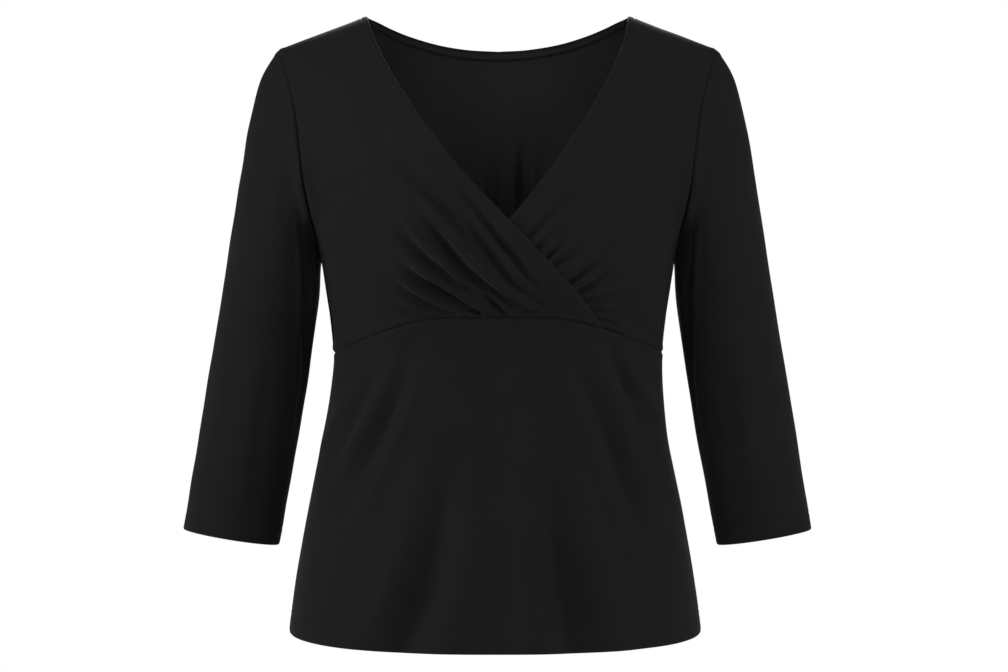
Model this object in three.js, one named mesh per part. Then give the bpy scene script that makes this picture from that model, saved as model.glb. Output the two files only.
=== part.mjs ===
// A jersey wrap top with three-quarter sleeves, in the form it has when it is worn. Two gathered
// fronts cross over each other, a curved seam under the bust joins them to a flared lower body,
// and set-in sleeves hang down beside it. Millimetres, +Z up, the front faces -Y and the top's own
// left is +X. The origin lies midway between the points where the shoulder seams meet the neckline.
import * as THREE from "three";

// Cloth and seams
const WALL = 1.2;
const SEAM_GAP = 0.4;

// Heights of the main lines, measured down from the high shoulder points
const SHOULDER_TIP = -31.5;
const UNDERARM = -228;
const SEAM_SIDE = -320;
const HEM_SIDE = -583.5;
const HEM_DIP_FRONT = 10.5;
const HEM_DIP_BACK = 8;

// Widths of the main lines
const NECK_HALF = 125;
const TIP_HALF = 210;
const SEAM_HALF = 156;
const SHOULDER_SLOPE = -SHOULDER_TIP / (TIP_HALF - NECK_HALF);
const RIDGE_BACK = 6;

// Roundness of a level section: 2 is an ellipse, more is squarer
const SQUARENESS = 2.35;

// How the two fronts pass each other: the upper one is lifted where they overlap, and the lower one
// sinks below its edge and once more further in
const OVER_LIFT = 1.6;
const LIFT_RAMP = 15;
const LIFT_ABOVE_SEAM = 22;
const UNDER_DROP = 2.2;
const DROP_RAMP = [-20, -1];
const HIDDEN_DROP = 6.5;
const HIDDEN_RAMP = [8, 38];

// How far the sleeve's edge stands off the body's along the lower armhole, where it folds down
const SLEEVE_LAP = WALL + 0.35;

// Gathers: the raised lip beside each trough, as a share of its depth, and its place and width as
// shares of the trough's width
const LIP = 0.35;
const LIP_AWAY = 1.7;
const LIP_WIDTH = 0.9;

// Grid steps of each piece, across and up, and how much closer the fronts' columns lie at the neck
const NECK_BUNCH = 0.85;
const STEPS = {
  rightFront: 38,
  leftFront: 31,
  frontLow: 9,
  frontHigh: 18,
  backHalfNeck: 8,
  backHalfShoulder: 6,
  backLow: 6,
  backHigh: 12,
  lowerFront: [30, 10],
  lowerBack: [26, 10],
  sleeveAlong: 13,
};

const FRONT = -1;
const BACK = 1;
const OWN_RIGHT = -1;
const OWN_LEFT = 1;

const table = (columns, rows) =>
  rows.map((row) => Object.fromEntries(columns.split(" ").map((name, i) => [name, row[i]])));

// Sections of the body, from below the hem up to the shoulder line. Above the underarm the section
// is the whole shoulder, which the armhole cuts, and its depths close in towards the shoulder line.
const BODY = table("level halfWidth frontDepth backDepth sway", [
  [-600, 197.5, 134, 124, -2.4],
  [-560, 192.5, 130, 119, -2.4],
  [-520, 186.5, 125, 113, -2.4],
  [-480, 179.4, 119.5, 107, -2.4],
  [-440, 171.4, 114, 101, -2.4],
  [-400, 163.4, 109.5, 97, -2.3],
  [-360, 158.1, 106.5, 95, -0.8],
  [-320, 155.6, 106, 95, 0.8],
  [-290, 157.8, 110, 97.5, 1.2],
  [-260, 162.6, 119.5, 102, 0.8],
  [-243, 165.6, 124, 105, 0.4],
  [UNDERARM, 168.4, 126, 107, 0],
  [-205, 176, 132.4, 112.5, 0],
  [-180, 187, 137.5, 118, 0],
  [-150, 199, 140.3, 125, 0],
  [-110, 209, 140.8, 131, 0],
  [-70, 216, 140, 134, 0],
  [SHOULDER_TIP, 222, 139, 135, 0],
]);

// The armhole seam, as half the width between the two armholes
const ARMHOLE = table("level half", [
  [UNDERARM, 167.6],
  [-215, 170.5],
  [-195, 174.5],
  [-170, 180],
  [-140, 184.5],
  [-110, 189],
  [-80, 195],
  [-55, 202],
  [SHOULDER_TIP, TIP_HALF],
]);

// The neckline edge of the front that lies on top, from its shoulder to the seam
const OVER_EDGE = table("x z", [
  [-125, 0],
  [-115.8, -26],
  [-101.6, -55],
  [-83.2, -85],
  [-60.8, -117],
  [-38.7, -146],
  [-14.5, -173],
  [10.6, -199],
  [31.4, -220],
  [51.9, -242],
  [72.5, -264],
  [93.4, -292],
  [104, -310],
]);

// The neckline edge of the front that lies below, the end of it hidden
const UNDER_EDGE = table("x z", [
  [125, 0],
  [119.5, -26],
  [107.3, -57],
  [91.2, -87],
  [70.9, -119],
  [48.7, -151],
  [29, -177],
  [10.4, -199],
  [-9, -220],
  [-30, -242],
  [-52, -264],
  [-75, -289],
  [-88, -306],
]);

// The edge of the back neck
const BACK_NECK = table("x z", [
  [0, -26.5],
  [30, -25.2],
  [59, -21],
  [86, -14],
  [103, -8],
  [115.5, -2.9],
  [NECK_HALF, 0],
]);

// The seam under the bust, front and back, by distance from the middle
const FRONT_SEAM = table("x z", [
  [0, -288],
  [45, -288],
  [60, -289],
  [75, -291.5],
  [90, -296],
  [110, -302.5],
  [125, -308],
  [145, -315.5],
  [SEAM_HALF, -320],
]);
const BACK_SEAM = table("x z", [
  [0, -313],
  [60, -314],
  [110, -317],
  [SEAM_HALF, -320],
]);

// Each fold is a trough along a curve from its root through a middle point to its tip, as seen from
// the front. Its depth is greatest at the share named peak and starts at the share named root.
const FOLD_COLUMNS = "x0 z0 x1 z1 x2 z2 width0 width1 depth peak root";
const OVER_FOLDS = table(FOLD_COLUMNS, [
  [52, -284, 14, -232, -50, -166, 6, 9, 2.4, 0.35, 0.5],
  [30, -270, -12, -226, -98, -134, 6, 11, 3.2, 0.3, 0.2],
  [34, -288, -20, -250, -68, -188, 6, 9, 7, 0.5, 0.3],
  [11, -290, -34, -255, -84, -214, 5.5, 9, 5.2, 0.4, 0.35],
  [-14, -289, -50, -263, -96, -230, 5.5, 9, 5.2, 0.4, 0.35],
  [-42, -289, -74, -271, -112, -246, 5.5, 9, 4, 0.4, 0.4],
  [-62, -292, -84, -284, -112, -270, 5, 8, 2.6, 0.3, 0.5],
]);
const UNDER_FOLDS = table(FOLD_COLUMNS, [
  [22, -222, 66, -174, 120, -96, 8, 13, 2.8, 0.3, 0.8],
  [40, -244, 62, -222, 86, -194, 5.5, 8, 3.2, 0.4, 0.6],
  [56, -262, 82, -243, 112, -218, 5.5, 8, 3.6, 0.4, 0.6],
  [68, -273, 92, -258, 124, -240, 5.5, 8, 3.4, 0.4, 0.6],
  [80, -281, 106, -275, 136, -262, 5, 8, 3, 0.35, 0.6],
]);
const LOWER_FRONT_FOLDS = table(FOLD_COLUMNS, [
  [-66, -306, -108, -392, -156, -486, 10, 16, 4, 0.45, 0.1],
  [80, -312, 104, -400, 154, -506, 11, 17, 4.4, 0.45, 0.1],
  [106, -322, 128, -376, 150, -432, 9, 12, 2.6, 0.4, 0.2],
  [-70, -600, -52, -480, -32, -350, 24, 13, 7, 0.2, 1],
  [69, -600, 53, -480, 34, -350, 23, 13, 9, 0.2, 1],
]);
const BACK_FOLDS = table(FOLD_COLUMNS, [
  [-52, -318, -56, -260, -66, -190, 6, 9, 3, 0.25, 0.7],
  [-30, -317, -32, -240, -38, -160, 6, 9, 3.8, 0.3, 0.7],
  [-8, -316, -9, -230, -12, -120, 6, 10, 4.2, 0.35, 0.7],
  [14, -316, 16, -230, 22, -100, 6, 10, 4.4, 0.35, 0.7],
  [36, -317, 40, -250, 46, -170, 6, 9, 3.6, 0.3, 0.7],
  [58, -318, 62, -270, 72, -210, 6, 9, 2.8, 0.25, 0.7],
]);
const LOWER_BACK_FOLDS = table(FOLD_COLUMNS, [
  [-96, -600, -78, -480, -56, -340, 24, 12, 6, 0.2, 1],
  [-26, -600, -20, -490, -12, -350, 24, 12, 6.5, 0.2, 1],
  [44, -600, 34, -480, 22, -340, 24, 12, 6, 0.2, 1],
  [112, -600, 96, -480, 70, -360, 22, 12, 5.5, 0.2, 1],
]);

// Fullness over the gathers on each side of the front
const CUP = { x: 76, z: -226, radiusX: 52, radiusZ: 46, rise: 5 };

// The sleeve's upper line and underarm line, station by station from the armhole to the cuff
const SLEEVE = table("station outerX outerZ innerX innerZ halfDepth", [
  [0, TIP_HALF, SHOULDER_TIP, 167.6, UNDERARM, 49],
  [1, 226, -60, 168.6, -236, 51],
  [2, 237.4, -105, 169.3, -245, 53],
  [3, 244.6, -150, 170, -256, 54],
  [4, 252, -197, 171.2, -269, 54],
  [5, 259.6, -246, 173.6, -288, 53],
  [6, 266.4, -291, 177.8, -318, 51.5],
  [7, 274.2, -336, 183.4, -357, 49.5],
  [8, 282.6, -386, 191, -403, 47],
  [9, 290.4, -436, 200, -451, 45],
  [10, 299, -488, 209.2, -503, 43],
]);
const LAST_STATION = 10;

// The armhole's form fades out by this station, the lap grows between these turns, and the sleeve's
// edge stays this far from the armhole
const ARMHOLE_FADE = 6;
const LAP_TURNS = [0.9, 1.5];
const SLEEVE_DRAW = 0.8;

// Soft folds of the sleeve: turn is measured from the upper line towards the front
const SLEEVE_FOLDS = table("turn from to width depth", [
  [128, 1, 7, 9, 2.6],
  [158, 2.5, 8, 7, 1.8],
  [232, 1, 6, 9, 2.4],
  [70, 5, 9.5, 12, 1.2],
]);

// The band inside the back neck: its lower and upper edge below the neck edge, its cloth, its
// distance from the back, and how far its ends stop short, as a share of a grid step
const BAND_WIDTH = 8;
const BAND_TOP = 0.6;
const BAND_WALL = 1;
const BAND_CLEAR = 0.4;
const BAND_END = 0.04;

const clamp = (value, low, high) => Math.min(Math.max(value, low), high);
const mix = (a, b, share) => a + (b - a) * share;
const ease = (from, to, value) => {
  const share = clamp((value - from) / (to - from), 0, 1);
  return share * share * (3 - 2 * share);
};
const bump = (value) => Math.exp(-value * value);

// A smooth curve through one column of a table, read by another column that rises or falls
function curve(rows, key, column) {
  const sorted = [...rows].sort((a, b) => a[key] - b[key]);
  const keys = sorted.map((row) => row[key]);
  const values = sorted.map((row) => row[column]);
  const last = keys.length - 1;
  const slopes = keys.map((_, i) => {
    const before = Math.max(i - 1, 0);
    const after = Math.min(i + 1, last);
    return (values[after] - values[before]) / (keys[after] - keys[before]);
  });
  return (at) => {
    const place = clamp(at, keys[0], keys[last]);
    const i = clamp(keys.findIndex((value) => value >= place) - 1, 0, last - 1);
    const span = keys[i + 1] - keys[i];
    const u = (place - keys[i]) / span;
    const held = values[i] * (1 + 2 * u) * (1 - u) ** 2 + slopes[i] * span * u * (1 - u) ** 2;
    return held + values[i + 1] * u * u * (3 - 2 * u) + slopes[i + 1] * span * u * u * (u - 1);
  };
}

const halfWidthAt = curve(BODY, "level", "halfWidth");
const depthAt = {
  [FRONT]: curve(BODY, "level", "frontDepth"),
  [BACK]: curve(BODY, "level", "backDepth"),
};
const swayAt = curve(BODY, "level", "sway");
const armholeAt = curve(ARMHOLE, "level", "half");
const seamAt = { [FRONT]: curve(FRONT_SEAM, "x", "z"), [BACK]: curve(BACK_SEAM, "x", "z") };
const overEdgeX = curve(OVER_EDGE, "z", "x");
const underEdgeX = curve(UNDER_EDGE, "z", "x");

// The share of the way from the underarm to the shoulder line
const rise = (level) => clamp((level - UNDERARM) / (SHOULDER_TIP - UNDERARM), 0, 1);
const shoulderLine = (x) => (NECK_HALF - Math.abs(x)) * SHOULDER_SLOPE;
const heightOf = (level, x) =>
  level <= UNDERARM ? level : mix(UNDERARM, shoulderLine(x), rise(level));
const levelOf = (x, z) =>
  z <= UNDERARM
    ? z
    : mix(UNDERARM, SHOULDER_TIP, (z - UNDERARM) / (shoulderLine(x) - UNDERARM));

// A point of the body, turned from one side seam (0) past the middle to the other (PI)
function bodyPoint(side, face, turn, level) {
  const power = 2 / SQUARENESS;
  const across = Math.cos(turn);
  const x = side * halfWidthAt(level) * Math.sign(across) * Math.abs(across) ** power;
  const reach = depthAt[face](level) * Math.sqrt(1 - rise(level));
  const y = face * reach * Math.max(Math.sin(turn), 0) ** power + RIDGE_BACK * rise(level);
  return new THREE.Vector3(x + swayAt(level), y, heightOf(level, x));
}

// The turn at which a section has a given half width
const turnAt = (half, level) =>
  Math.acos(clamp(half / halfWidthAt(level), 0, 1) ** (SQUARENESS / 2));
const armholeTurn = (level) => (level <= UNDERARM ? 0 : turnAt(armholeAt(level), level));
const seamLevel = (face, turn) =>
  seamAt[face](SEAM_HALF * Math.abs(Math.cos(turn)) ** (2 / SQUARENESS));

// The root of a falling function, between low and high
function solve(low, high, falling) {
  for (let i = 0; i < 40; i++) {
    const middle = (low + high) / 2;
    if (falling(middle) > 0) low = middle;
    else high = middle;
  }
  return (low + high) / 2;
}

// Side levels of a panel's rows: evenly from the seam to the underarm, then evenly along the cloth
// to the shoulder line
function rowLevels(face, low, high) {
  const turn = 1;
  const samples = 400;
  const levels = [];
  const lengths = [];
  for (let i = 0; i <= samples; i++) {
    levels.push(SHOULDER_TIP - (SHOULDER_TIP - UNDERARM) * (1 - i / samples) ** 2);
    const step = i
      ? bodyPoint(1, face, turn, levels[i]).distanceTo(bodyPoint(1, face, turn, levels[i - 1]))
      : 0;
    lengths.push(i ? lengths[i - 1] + step : 0);
  }
  const below = Array.from({ length: low }, (_, k) => mix(SEAM_SIDE, UNDERARM, k / low));
  const above = Array.from({ length: high + 1 }, (_, k) => {
    const wanted = (lengths[samples] * k) / high;
    const i = clamp(lengths.findIndex((length) => length >= wanted), 1, samples);
    const share = (wanted - lengths[i - 1]) / (lengths[i] - lengths[i - 1]);
    return k === high ? SHOULDER_TIP : mix(levels[i - 1], levels[i], share);
  });
  return [...below, ...above];
}

// The level of a panel's row away from the side, where the rows below the underarm follow the seam
const rowLevelAt = (face, sideLevel, turn) =>
  sideLevel >= UNDERARM
    ? sideLevel
    : mix(seamLevel(face, turn), UNDERARM, (sideLevel - SEAM_SIDE) / (UNDERARM - SEAM_SIDE));

const FRONT_ROWS = rowLevels(FRONT, STEPS.frontLow, STEPS.frontHigh);
const BACK_ROWS = rowLevels(BACK, STEPS.backLow, STEPS.backHigh);

// Points along a fold's curve
function foldLine(fold) {
  const start = new THREE.Vector3(fold.x0, fold.z0, 0);
  const middle = new THREE.Vector3(fold.x1, fold.z1, 0);
  const end = new THREE.Vector3(fold.x2, fold.z2, 0);
  return new THREE.CatmullRomCurve3([start, middle, end]).getPoints(12);
}

// How far the folds move the cloth outwards at a place seen from the front
function foldShift(lines, x, z) {
  const place = new THREE.Vector3(x, z, 0);
  const nearest = new THREE.Vector3();
  return lines.reduce((sum, { fold, points }) => {
    let distance = Infinity;
    let share = 0;
    for (let i = 0; i + 1 < points.length; i++) {
      const piece = new THREE.Line3(points[i], points[i + 1]);
      const along = piece.closestPointToPointParameter(place, true);
      const gap = piece.at(along, nearest).distanceTo(place);
      if (gap < distance) {
        distance = gap;
        share = (i + along) / (points.length - 1);
      }
    }
    const width = mix(fold.width0, fold.width1, share);
    const grown = mix(fold.root, 1, ease(0, fold.peak, share));
    const strength = grown * (1 - ease(fold.peak, 1, share));
    const lip = LIP * bump((distance / width - LIP_AWAY) / LIP_WIDTH);
    return sum + fold.depth * strength * (lip - bump(distance / width));
  }, 0);
}

const withLines = (folds) => folds.map((fold) => ({ fold, points: foldLine(fold) }));
const cupRise = (x, z) =>
  CUP.rise * bump((Math.abs(x) - CUP.x) / CUP.radiusX) * bump((z - CUP.z) / CUP.radiusZ);

// Outward directions at each point of a grid
function gridNormals(grid, around, outward) {
  const last = grid[0].length - 1;
  const rows = grid.length - 1;
  const normals = grid.map((row, r) =>
    row.map((_, c) => {
      const left = around ? row[(c + last) % (last + 1)] : row[Math.max(c - 1, 0)];
      const right = around ? row[(c + 1) % (last + 1)] : row[Math.min(c + 1, last)];
      const along = right.clone().sub(left);
      const up = grid[Math.min(r + 1, rows)][c].clone().sub(grid[Math.max(r - 1, 0)][c]);
      return along.cross(up).multiplyScalar(outward).normalize();
    }),
  );
  // A border normal carries on the bend of its two neighbours
  const carry = (edge, next, after) => edge.copy(next).multiplyScalar(2).sub(after).normalize();
  if (!around)
    for (const row of normals) {
      carry(row[0], row[1], row[2]);
      carry(row[last], row[last - 1], row[last - 2]);
    }
  normals[0].forEach((normal, c) => carry(normal, normals[1][c], normals[2][c]));
  normals[rows].forEach((normal, c) =>
    carry(normal, normals[rows - 1][c], normals[rows - 2][c]),
  );
  return normals;
}

// Moves each point along its outward direction
function displace(grid, around, outward, shift) {
  const normals = gridNormals(grid, around, outward);
  return grid.map((row, r) =>
    row.map((point, c) => point.clone().addScaledVector(normals[r][c], shift(point, r, c))),
  );
}

// Shapes a panel by a shift along its outward directions that leaves the height of the row at the
// seam under the bust as it is
function shapePanel(grid, outward, seamRow, shift) {
  const shaped = displace(grid, false, outward, shift);
  shaped[seamRow].forEach((point, c) => {
    point.z = grid[seamRow][c].z;
  });
  return shaped;
}

// Draws the sewn borders of a grid back, square to the seam
function drawBack(grid, borders, by = SEAM_GAP / 2) {
  const rows = grid.length - 1;
  const last = grid[0].length - 1;
  const pull = (line, next) => {
    const moves = line.map((point, i) => {
      const before = line[Math.max(i - 1, 0)];
      const after = line[Math.min(i + 1, line.length - 1)];
      const along = after.clone().sub(before).normalize();
      const inward = next[i].clone().sub(point);
      return inward.addScaledVector(along, -inward.dot(along)).normalize();
    });
    line.forEach((point, i) => point.addScaledVector(moves[i], by));
  };
  if (borders.includes("bottom")) pull(grid[0], grid[1]);
  if (borders.includes("top")) pull(grid[rows], grid[rows - 1]);
  if (borders.includes("first")) pull(grid.map((row) => row[0]), grid.map((row) => row[1]));
  if (borders.includes("last"))
    pull(grid.map((row) => row[last]), grid.map((row) => row[last - 1]));
  return grid;
}

const offset = (grid, normals, by) =>
  grid.map((row, r) => row.map((point, c) => point.clone().addScaledVector(normals[r][c], by)));

// Turns the offset directions where two pieces meet, so that their rims lie square to one axis
function mitre(normals, axisAt) {
  normals.forEach((row, r) =>
    row.forEach((normal, c) => {
      const axis = axisAt(r, c);
      if (!axis) return;
      normal[axis] = 0;
      normal.divideScalar(normal.lengthSq());
    }),
  );
  return normals;
}

// The rims of a front, a back or a lower part: square to y at the shoulder and side seams and
// square to z at the seam under the bust
const bodiceMitre = (grid, bothSides, isSewn = () => true) => (r, c) => {
  const atSide = c === 0 || (bothSides && c === grid[0].length - 1);
  if (atSide || (r === grid.length - 1 && isSewn(c))) return "y";
  return r === 0 ? "z" : undefined;
};
const lowerMitre = (grid) => (r, c) => {
  if (c === 0 || c === grid[0].length - 1) return "y";
  return r === grid.length - 1 ? "z" : undefined;
};

// A closed wall of cloth on a grid of points
function clothWall(grid, around, outward, axisAt = () => undefined) {
  const normals = mitre(gridNormals(grid, around, outward), axisAt);
  const outer = offset(grid, normals, WALL / 2);
  const inner = offset(grid, normals, -WALL / 2);
  return wallBetween(outer, inner, around, outward);
}

// The closed body between an outer and an inner grid. A mirrored one is split alike on both sides.
function wallBetween(outer, inner, around, outward, mirrored = false) {
  const rows = outer.length;
  const columns = outer[0].length;
  const sheet = rows * columns;
  const positions = [...outer.flat(), ...inner.flat()].flatMap((point) => point.toArray());
  const faces = [];
  const triangle = (a, b, c) => (outward > 0 ? faces.push(a, b, c) : faces.push(a, c, b));
  const quad = (a, b, c, d, otherWay = false) => {
    triangle(a, b, otherWay ? d : c);
    if (otherWay) triangle(b, c, d);
    else triangle(a, c, d);
  };
  const across = around ? columns : columns - 1;
  const at = (r, c) => r * columns + (c % columns);
  for (let r = 0; r + 1 < rows; r++)
    for (let c = 0; c < across; c++) {
      const [a, b, d, e] = [at(r, c), at(r, c + 1), at(r + 1, c + 1), at(r + 1, c)];
      const rising = outer[r][c].distanceTo(outer[r + 1][(c + 1) % columns]);
      const falling = outer[r][(c + 1) % columns].distanceTo(outer[r + 1][c]);
      const otherWay = mirrored ? 2 * c + 1 < columns : falling < rising;
      quad(a, b, d, e, otherWay);
      quad(sheet + e, sheet + d, sheet + b, sheet + a, !otherWay);
    }
  for (let c = 0; c < across; c++) {
    quad(sheet + at(0, c), sheet + at(0, c + 1), at(0, c + 1), at(0, c));
    quad(at(rows - 1, c), at(rows - 1, c + 1), sheet + at(rows - 1, c + 1), sheet + at(rows - 1, c));
  }
  if (!around)
    for (let r = 0; r + 1 < rows; r++) {
      quad(at(r, 0), at(r + 1, 0), sheet + at(r + 1, 0), sheet + at(r, 0));
      const end = columns - 1;
      quad(sheet + at(r, end), sheet + at(r + 1, end), at(r + 1, end), at(r, end));
    }
  const geometry = new THREE.BufferGeometry();
  geometry.setAttribute("position", new THREE.Float32BufferAttribute(positions, 3));
  geometry.setIndex(faces);
  geometry.computeVertexNormals();
  return geometry;
}

// A front, from its side seam and armhole across to its neckline edge
function frontGrid(side, edgeRows, across) {
  const edge = edgeRows.map(({ x, z }) => ({ x, level: levelOf(x, z) }));
  const edgeX = curve(edge, "level", "x");
  return FRONT_ROWS.map((sideLevel) => {
    const levelAt = (turn) => rowLevelAt(FRONT, sideLevel, turn);
    const pointAt = (turn) => bodyPoint(side, FRONT, turn, levelAt(turn));
    const outer = armholeTurn(sideLevel);
    const inner = solve(outer, Math.PI, (turn) => {
      return side * (pointAt(turn).x - edgeX(levelAt(turn)));
    });
    return Array.from({ length: across + 1 }, (_, c) => {
      const share = (c / across) ** NECK_BUNCH;
      return pointAt(inner * share + outer * (1 - share) ** 2);
    });
  });
}

const FRONT_SEAMS = ["bottom", "top", "first"];

function overFront() {
  const lines = withLines(OVER_FOLDS);
  const grid = shapePanel(frontGrid(OWN_RIGHT, OVER_EDGE, STEPS.rightFront), 1, 0, (p) => {
    const overlap = ease(-LIFT_RAMP, LIFT_RAMP, p.x - underEdgeX(p.z));
    const aboveSeam = ease(0, LIFT_ABOVE_SEAM, p.z - seamAt[FRONT](Math.abs(p.x)));
    return overlap * aboveSeam * OVER_LIFT + cupRise(p.x, p.z) + foldShift(lines, p.x, p.z);
  });
  return clothWall(drawBack(grid, FRONT_SEAMS), false, 1, bodiceMitre(grid, false));
}

function underFront() {
  const lines = withLines(UNDER_FOLDS);
  const grid = shapePanel(frontGrid(OWN_LEFT, UNDER_EDGE, STEPS.leftFront), -1, 0, (p) => {
    const hidden = overEdgeX(p.z) - p.x;
    const covered = ease(...HIDDEN_RAMP, hidden);
    const drop = UNDER_DROP * ease(...DROP_RAMP, hidden) + HIDDEN_DROP * covered;
    return cupRise(p.x, p.z) + foldShift(lines, p.x, p.z) * (1 - covered) - drop;
  });
  return clothWall(drawBack(grid, FRONT_SEAMS), false, -1, bodiceMitre(grid, false));
}

// The turn across the back at a share of its half width, at a level
const backTurn = (share, level) =>
  (Math.PI / 2) * (1 - share) + armholeTurn(level) * share * share;

// The share at which the back's top edge passes from the shoulder seam to the neck
const NECK_SHARE = solve(0, 1, (share) => {
  return NECK_HALF - bodyPoint(1, BACK, backTurn(share, SHOULDER_TIP), SHOULDER_TIP).x;
});

// The level of the back's top edge at a share of its half width
function backTop(share) {
  if (share >= NECK_SHARE) return SHOULDER_TIP;
  const neckAt = curve(BACK_NECK, "x", "z");
  return solve(UNDERARM, SHOULDER_TIP, (level) => {
    const point = bodyPoint(1, BACK, backTurn(share, level), level);
    return neckAt(point.x) - point.z;
  });
}

const HALF_BACK_SHARES = [
  ...Array.from({ length: STEPS.backHalfNeck }, (_, i) => (NECK_SHARE * i) / STEPS.backHalfNeck),
  ...Array.from({ length: STEPS.backHalfShoulder + 1 }, (_, i) =>
    mix(NECK_SHARE, 1, i / STEPS.backHalfShoulder),
  ),
];
const BACK_SHARES = [
  ...HALF_BACK_SHARES.slice(1).reverse().map((share) => -share),
  ...HALF_BACK_SHARES,
];

function backGrid() {
  const pointAt = (share, level) =>
    bodyPoint(Math.sign(share) || 1, BACK, backTurn(Math.abs(share), level), level);
  const tops = BACK_SHARES.map((share) => backTop(Math.abs(share)));
  const rows = BACK_ROWS.map((sideLevel) =>
    BACK_SHARES.map((share, c) => {
      const turn = (Math.PI / 2) * (1 - Math.abs(share));
      const low = rowLevelAt(BACK, Math.min(sideLevel, UNDERARM), turn);
      return pointAt(share, sideLevel > UNDERARM ? mix(UNDERARM, tops[c], rise(sideLevel)) : low);
    }),
  );
  // The row before the top is the one that marks the lower edge of the neck band
  const top = rows.pop();
  rows.pop();
  const bandEdge = BACK_SHARES.map((share, c) => {
    const level = solve(UNDERARM, tops[c], (lower) => {
      return pointAt(share, lower).distanceTo(top[c]) - BAND_WIDTH;
    });
    return pointAt(share, level);
  });
  return [...rows, bandEdge, top];
}

const BACK_LINES = withLines(BACK_FOLDS);
const BACK_PANEL = drawBack(
  shapePanel(backGrid(), -1, 0, (p) => foldShift(BACK_LINES, p.x, p.z)),
  ["bottom", "top", "first", "last"],
);

const BACK_NORMALS = mitre(
  gridNormals(BACK_PANEL, false, -1),
  bodiceMitre(BACK_PANEL, true, (c) => Math.abs(BACK_SHARES[c]) >= NECK_SHARE - 0.001),
);

function backBodice() {
  const outer = offset(BACK_PANEL, BACK_NORMALS, WALL / 2);
  const inner = offset(BACK_PANEL, BACK_NORMALS, -WALL / 2);
  return wallBetween(outer, inner, false, -1, true);
}

// The narrow band inside the back neck edge, made from the two top rows of the back panel
function backNeckBand() {
  const first = (BACK_SHARES.length - 1) / 2 - STEPS.backHalfNeck;
  const cut = (grid) => {
    const [low, top] = grid.slice(-2).map((row) => {
      return row.slice(first, first + 2 * STEPS.backHalfNeck + 1).map((point) => point.clone());
    });
    top.forEach((point, c) => point.lerp(low[c], BAND_TOP / BAND_WIDTH));
    for (const row of [low, top]) {
      row[0].lerp(row[1], BAND_END);
      row[row.length - 1].lerp(row[row.length - 2], BAND_END);
    }
    return [low, top];
  };
  const [points, normals] = [cut(BACK_PANEL), cut(BACK_NORMALS)];
  const near = WALL / 2 + BAND_CLEAR;
  const outer = offset(points, normals, -near);
  const inner = offset(points, normals, -near - BAND_WALL);
  return wallBetween(outer, inner, false, -1, true);
}

const hemLevel = (face, turn) =>
  HEM_SIDE - (face === FRONT ? HEM_DIP_FRONT : HEM_DIP_BACK) * Math.sin(turn);

// Half of the flared lower body, from the hem up to the seam under the bust
function lowerGrid(face, [across, up]) {
  return Array.from({ length: up + 1 }, (_, r) =>
    Array.from({ length: across + 1 }, (_, c) => {
      const turn = Math.PI * (1 - c / across);
      return bodyPoint(1, face, turn, mix(hemLevel(face, turn), seamLevel(face, turn), r / up));
    }),
  );
}

function lowerBody(face, folds, steps) {
  const lines = withLines(folds);
  const grid = shapePanel(lowerGrid(face, steps), -face, steps[1], (p) => {
    return foldShift(lines, p.x, p.z);
  });
  drawBack(grid, ["top", "first", "last"]);
  return clothWall(grid, false, -face, lowerMitre(grid));
}

// The armhole seam of one side, turned from the shoulder tip to the front and round
function armholePoint(side, turn) {
  const level = mix(UNDERARM, SHOULDER_TIP, Math.cos(turn / 2) ** 2);
  const face = turn <= Math.PI ? FRONT : BACK;
  return bodyPoint(side, face, armholeTurn(level), level);
}

const sleeveAt = Object.fromEntries(
  ["outerX", "outerZ", "innerX", "innerZ", "halfDepth"].map((column) => [
    column,
    curve(SLEEVE, "station", column),
  ]),
);

// A point of the plain tube between the sleeve's upper line and its underarm line
function tubePoint(side, station, turn) {
  const [outerX, outerZ] = [sleeveAt.outerX(station), sleeveAt.outerZ(station)];
  const [innerX, innerZ] = [sleeveAt.innerX(station), sleeveAt.innerZ(station)];
  const share = (1 + Math.cos(turn)) / 2;
  const y = RIDGE_BACK * share * ease(4, 0, station) - sleeveAt.halfDepth(station) * Math.sin(turn);
  return new THREE.Vector3(side * mix(innerX, outerX, share), y, mix(innerZ, outerZ, share));
}

function sleeveFoldShift(station, turn) {
  return SLEEVE_FOLDS.reduce((sum, fold) => {
    const radius = sleeveAt.halfDepth(station);
    const away = (turn - (fold.turn * Math.PI) / 180) * radius;
    const share = (station - fold.from) / (fold.to - fold.from);
    const strength = share > 0 && share < 1 ? Math.sin(Math.PI * share) ** 2 : 0;
    return sum - fold.depth * strength * bump(away / fold.width);
  }, 0);
}

// The turns of a sleeve's ring, so that it meets each row of the front and of the back
const turnOf = (level) => 2 * Math.acos(Math.sqrt(rise(level)));
const RING_TURNS = [
  ...FRONT_ROWS.filter((level) => level >= UNDERARM).reverse().map(turnOf),
  ...BACK_ROWS.filter((level) => level > UNDERARM && level < SHOULDER_TIP)
    .map((level) => 2 * Math.PI - turnOf(level)),
];

// The outward direction of the body at the armhole, from a small step each way
function armholeNormal(side, turn) {
  const [stepTurn, stepLevel] = [0.1, 2];
  const face = turn <= Math.PI ? FRONT : BACK;
  const seamHeight = mix(UNDERARM, SHOULDER_TIP, Math.cos(turn / 2) ** 2);
  const level = Math.min(seamHeight, SHOULDER_TIP - stepLevel);
  const here = Math.max(armholeTurn(seamHeight), stepTurn);
  const across = bodyPoint(side, face, here + stepTurn, level);
  across.sub(bodyPoint(side, face, here - stepTurn, level));
  const up = bodyPoint(side, face, here, level + stepLevel);
  up.sub(bodyPoint(side, face, here, level - stepLevel));
  return across.cross(up).multiplyScalar(side * face).normalize();
}

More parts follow.
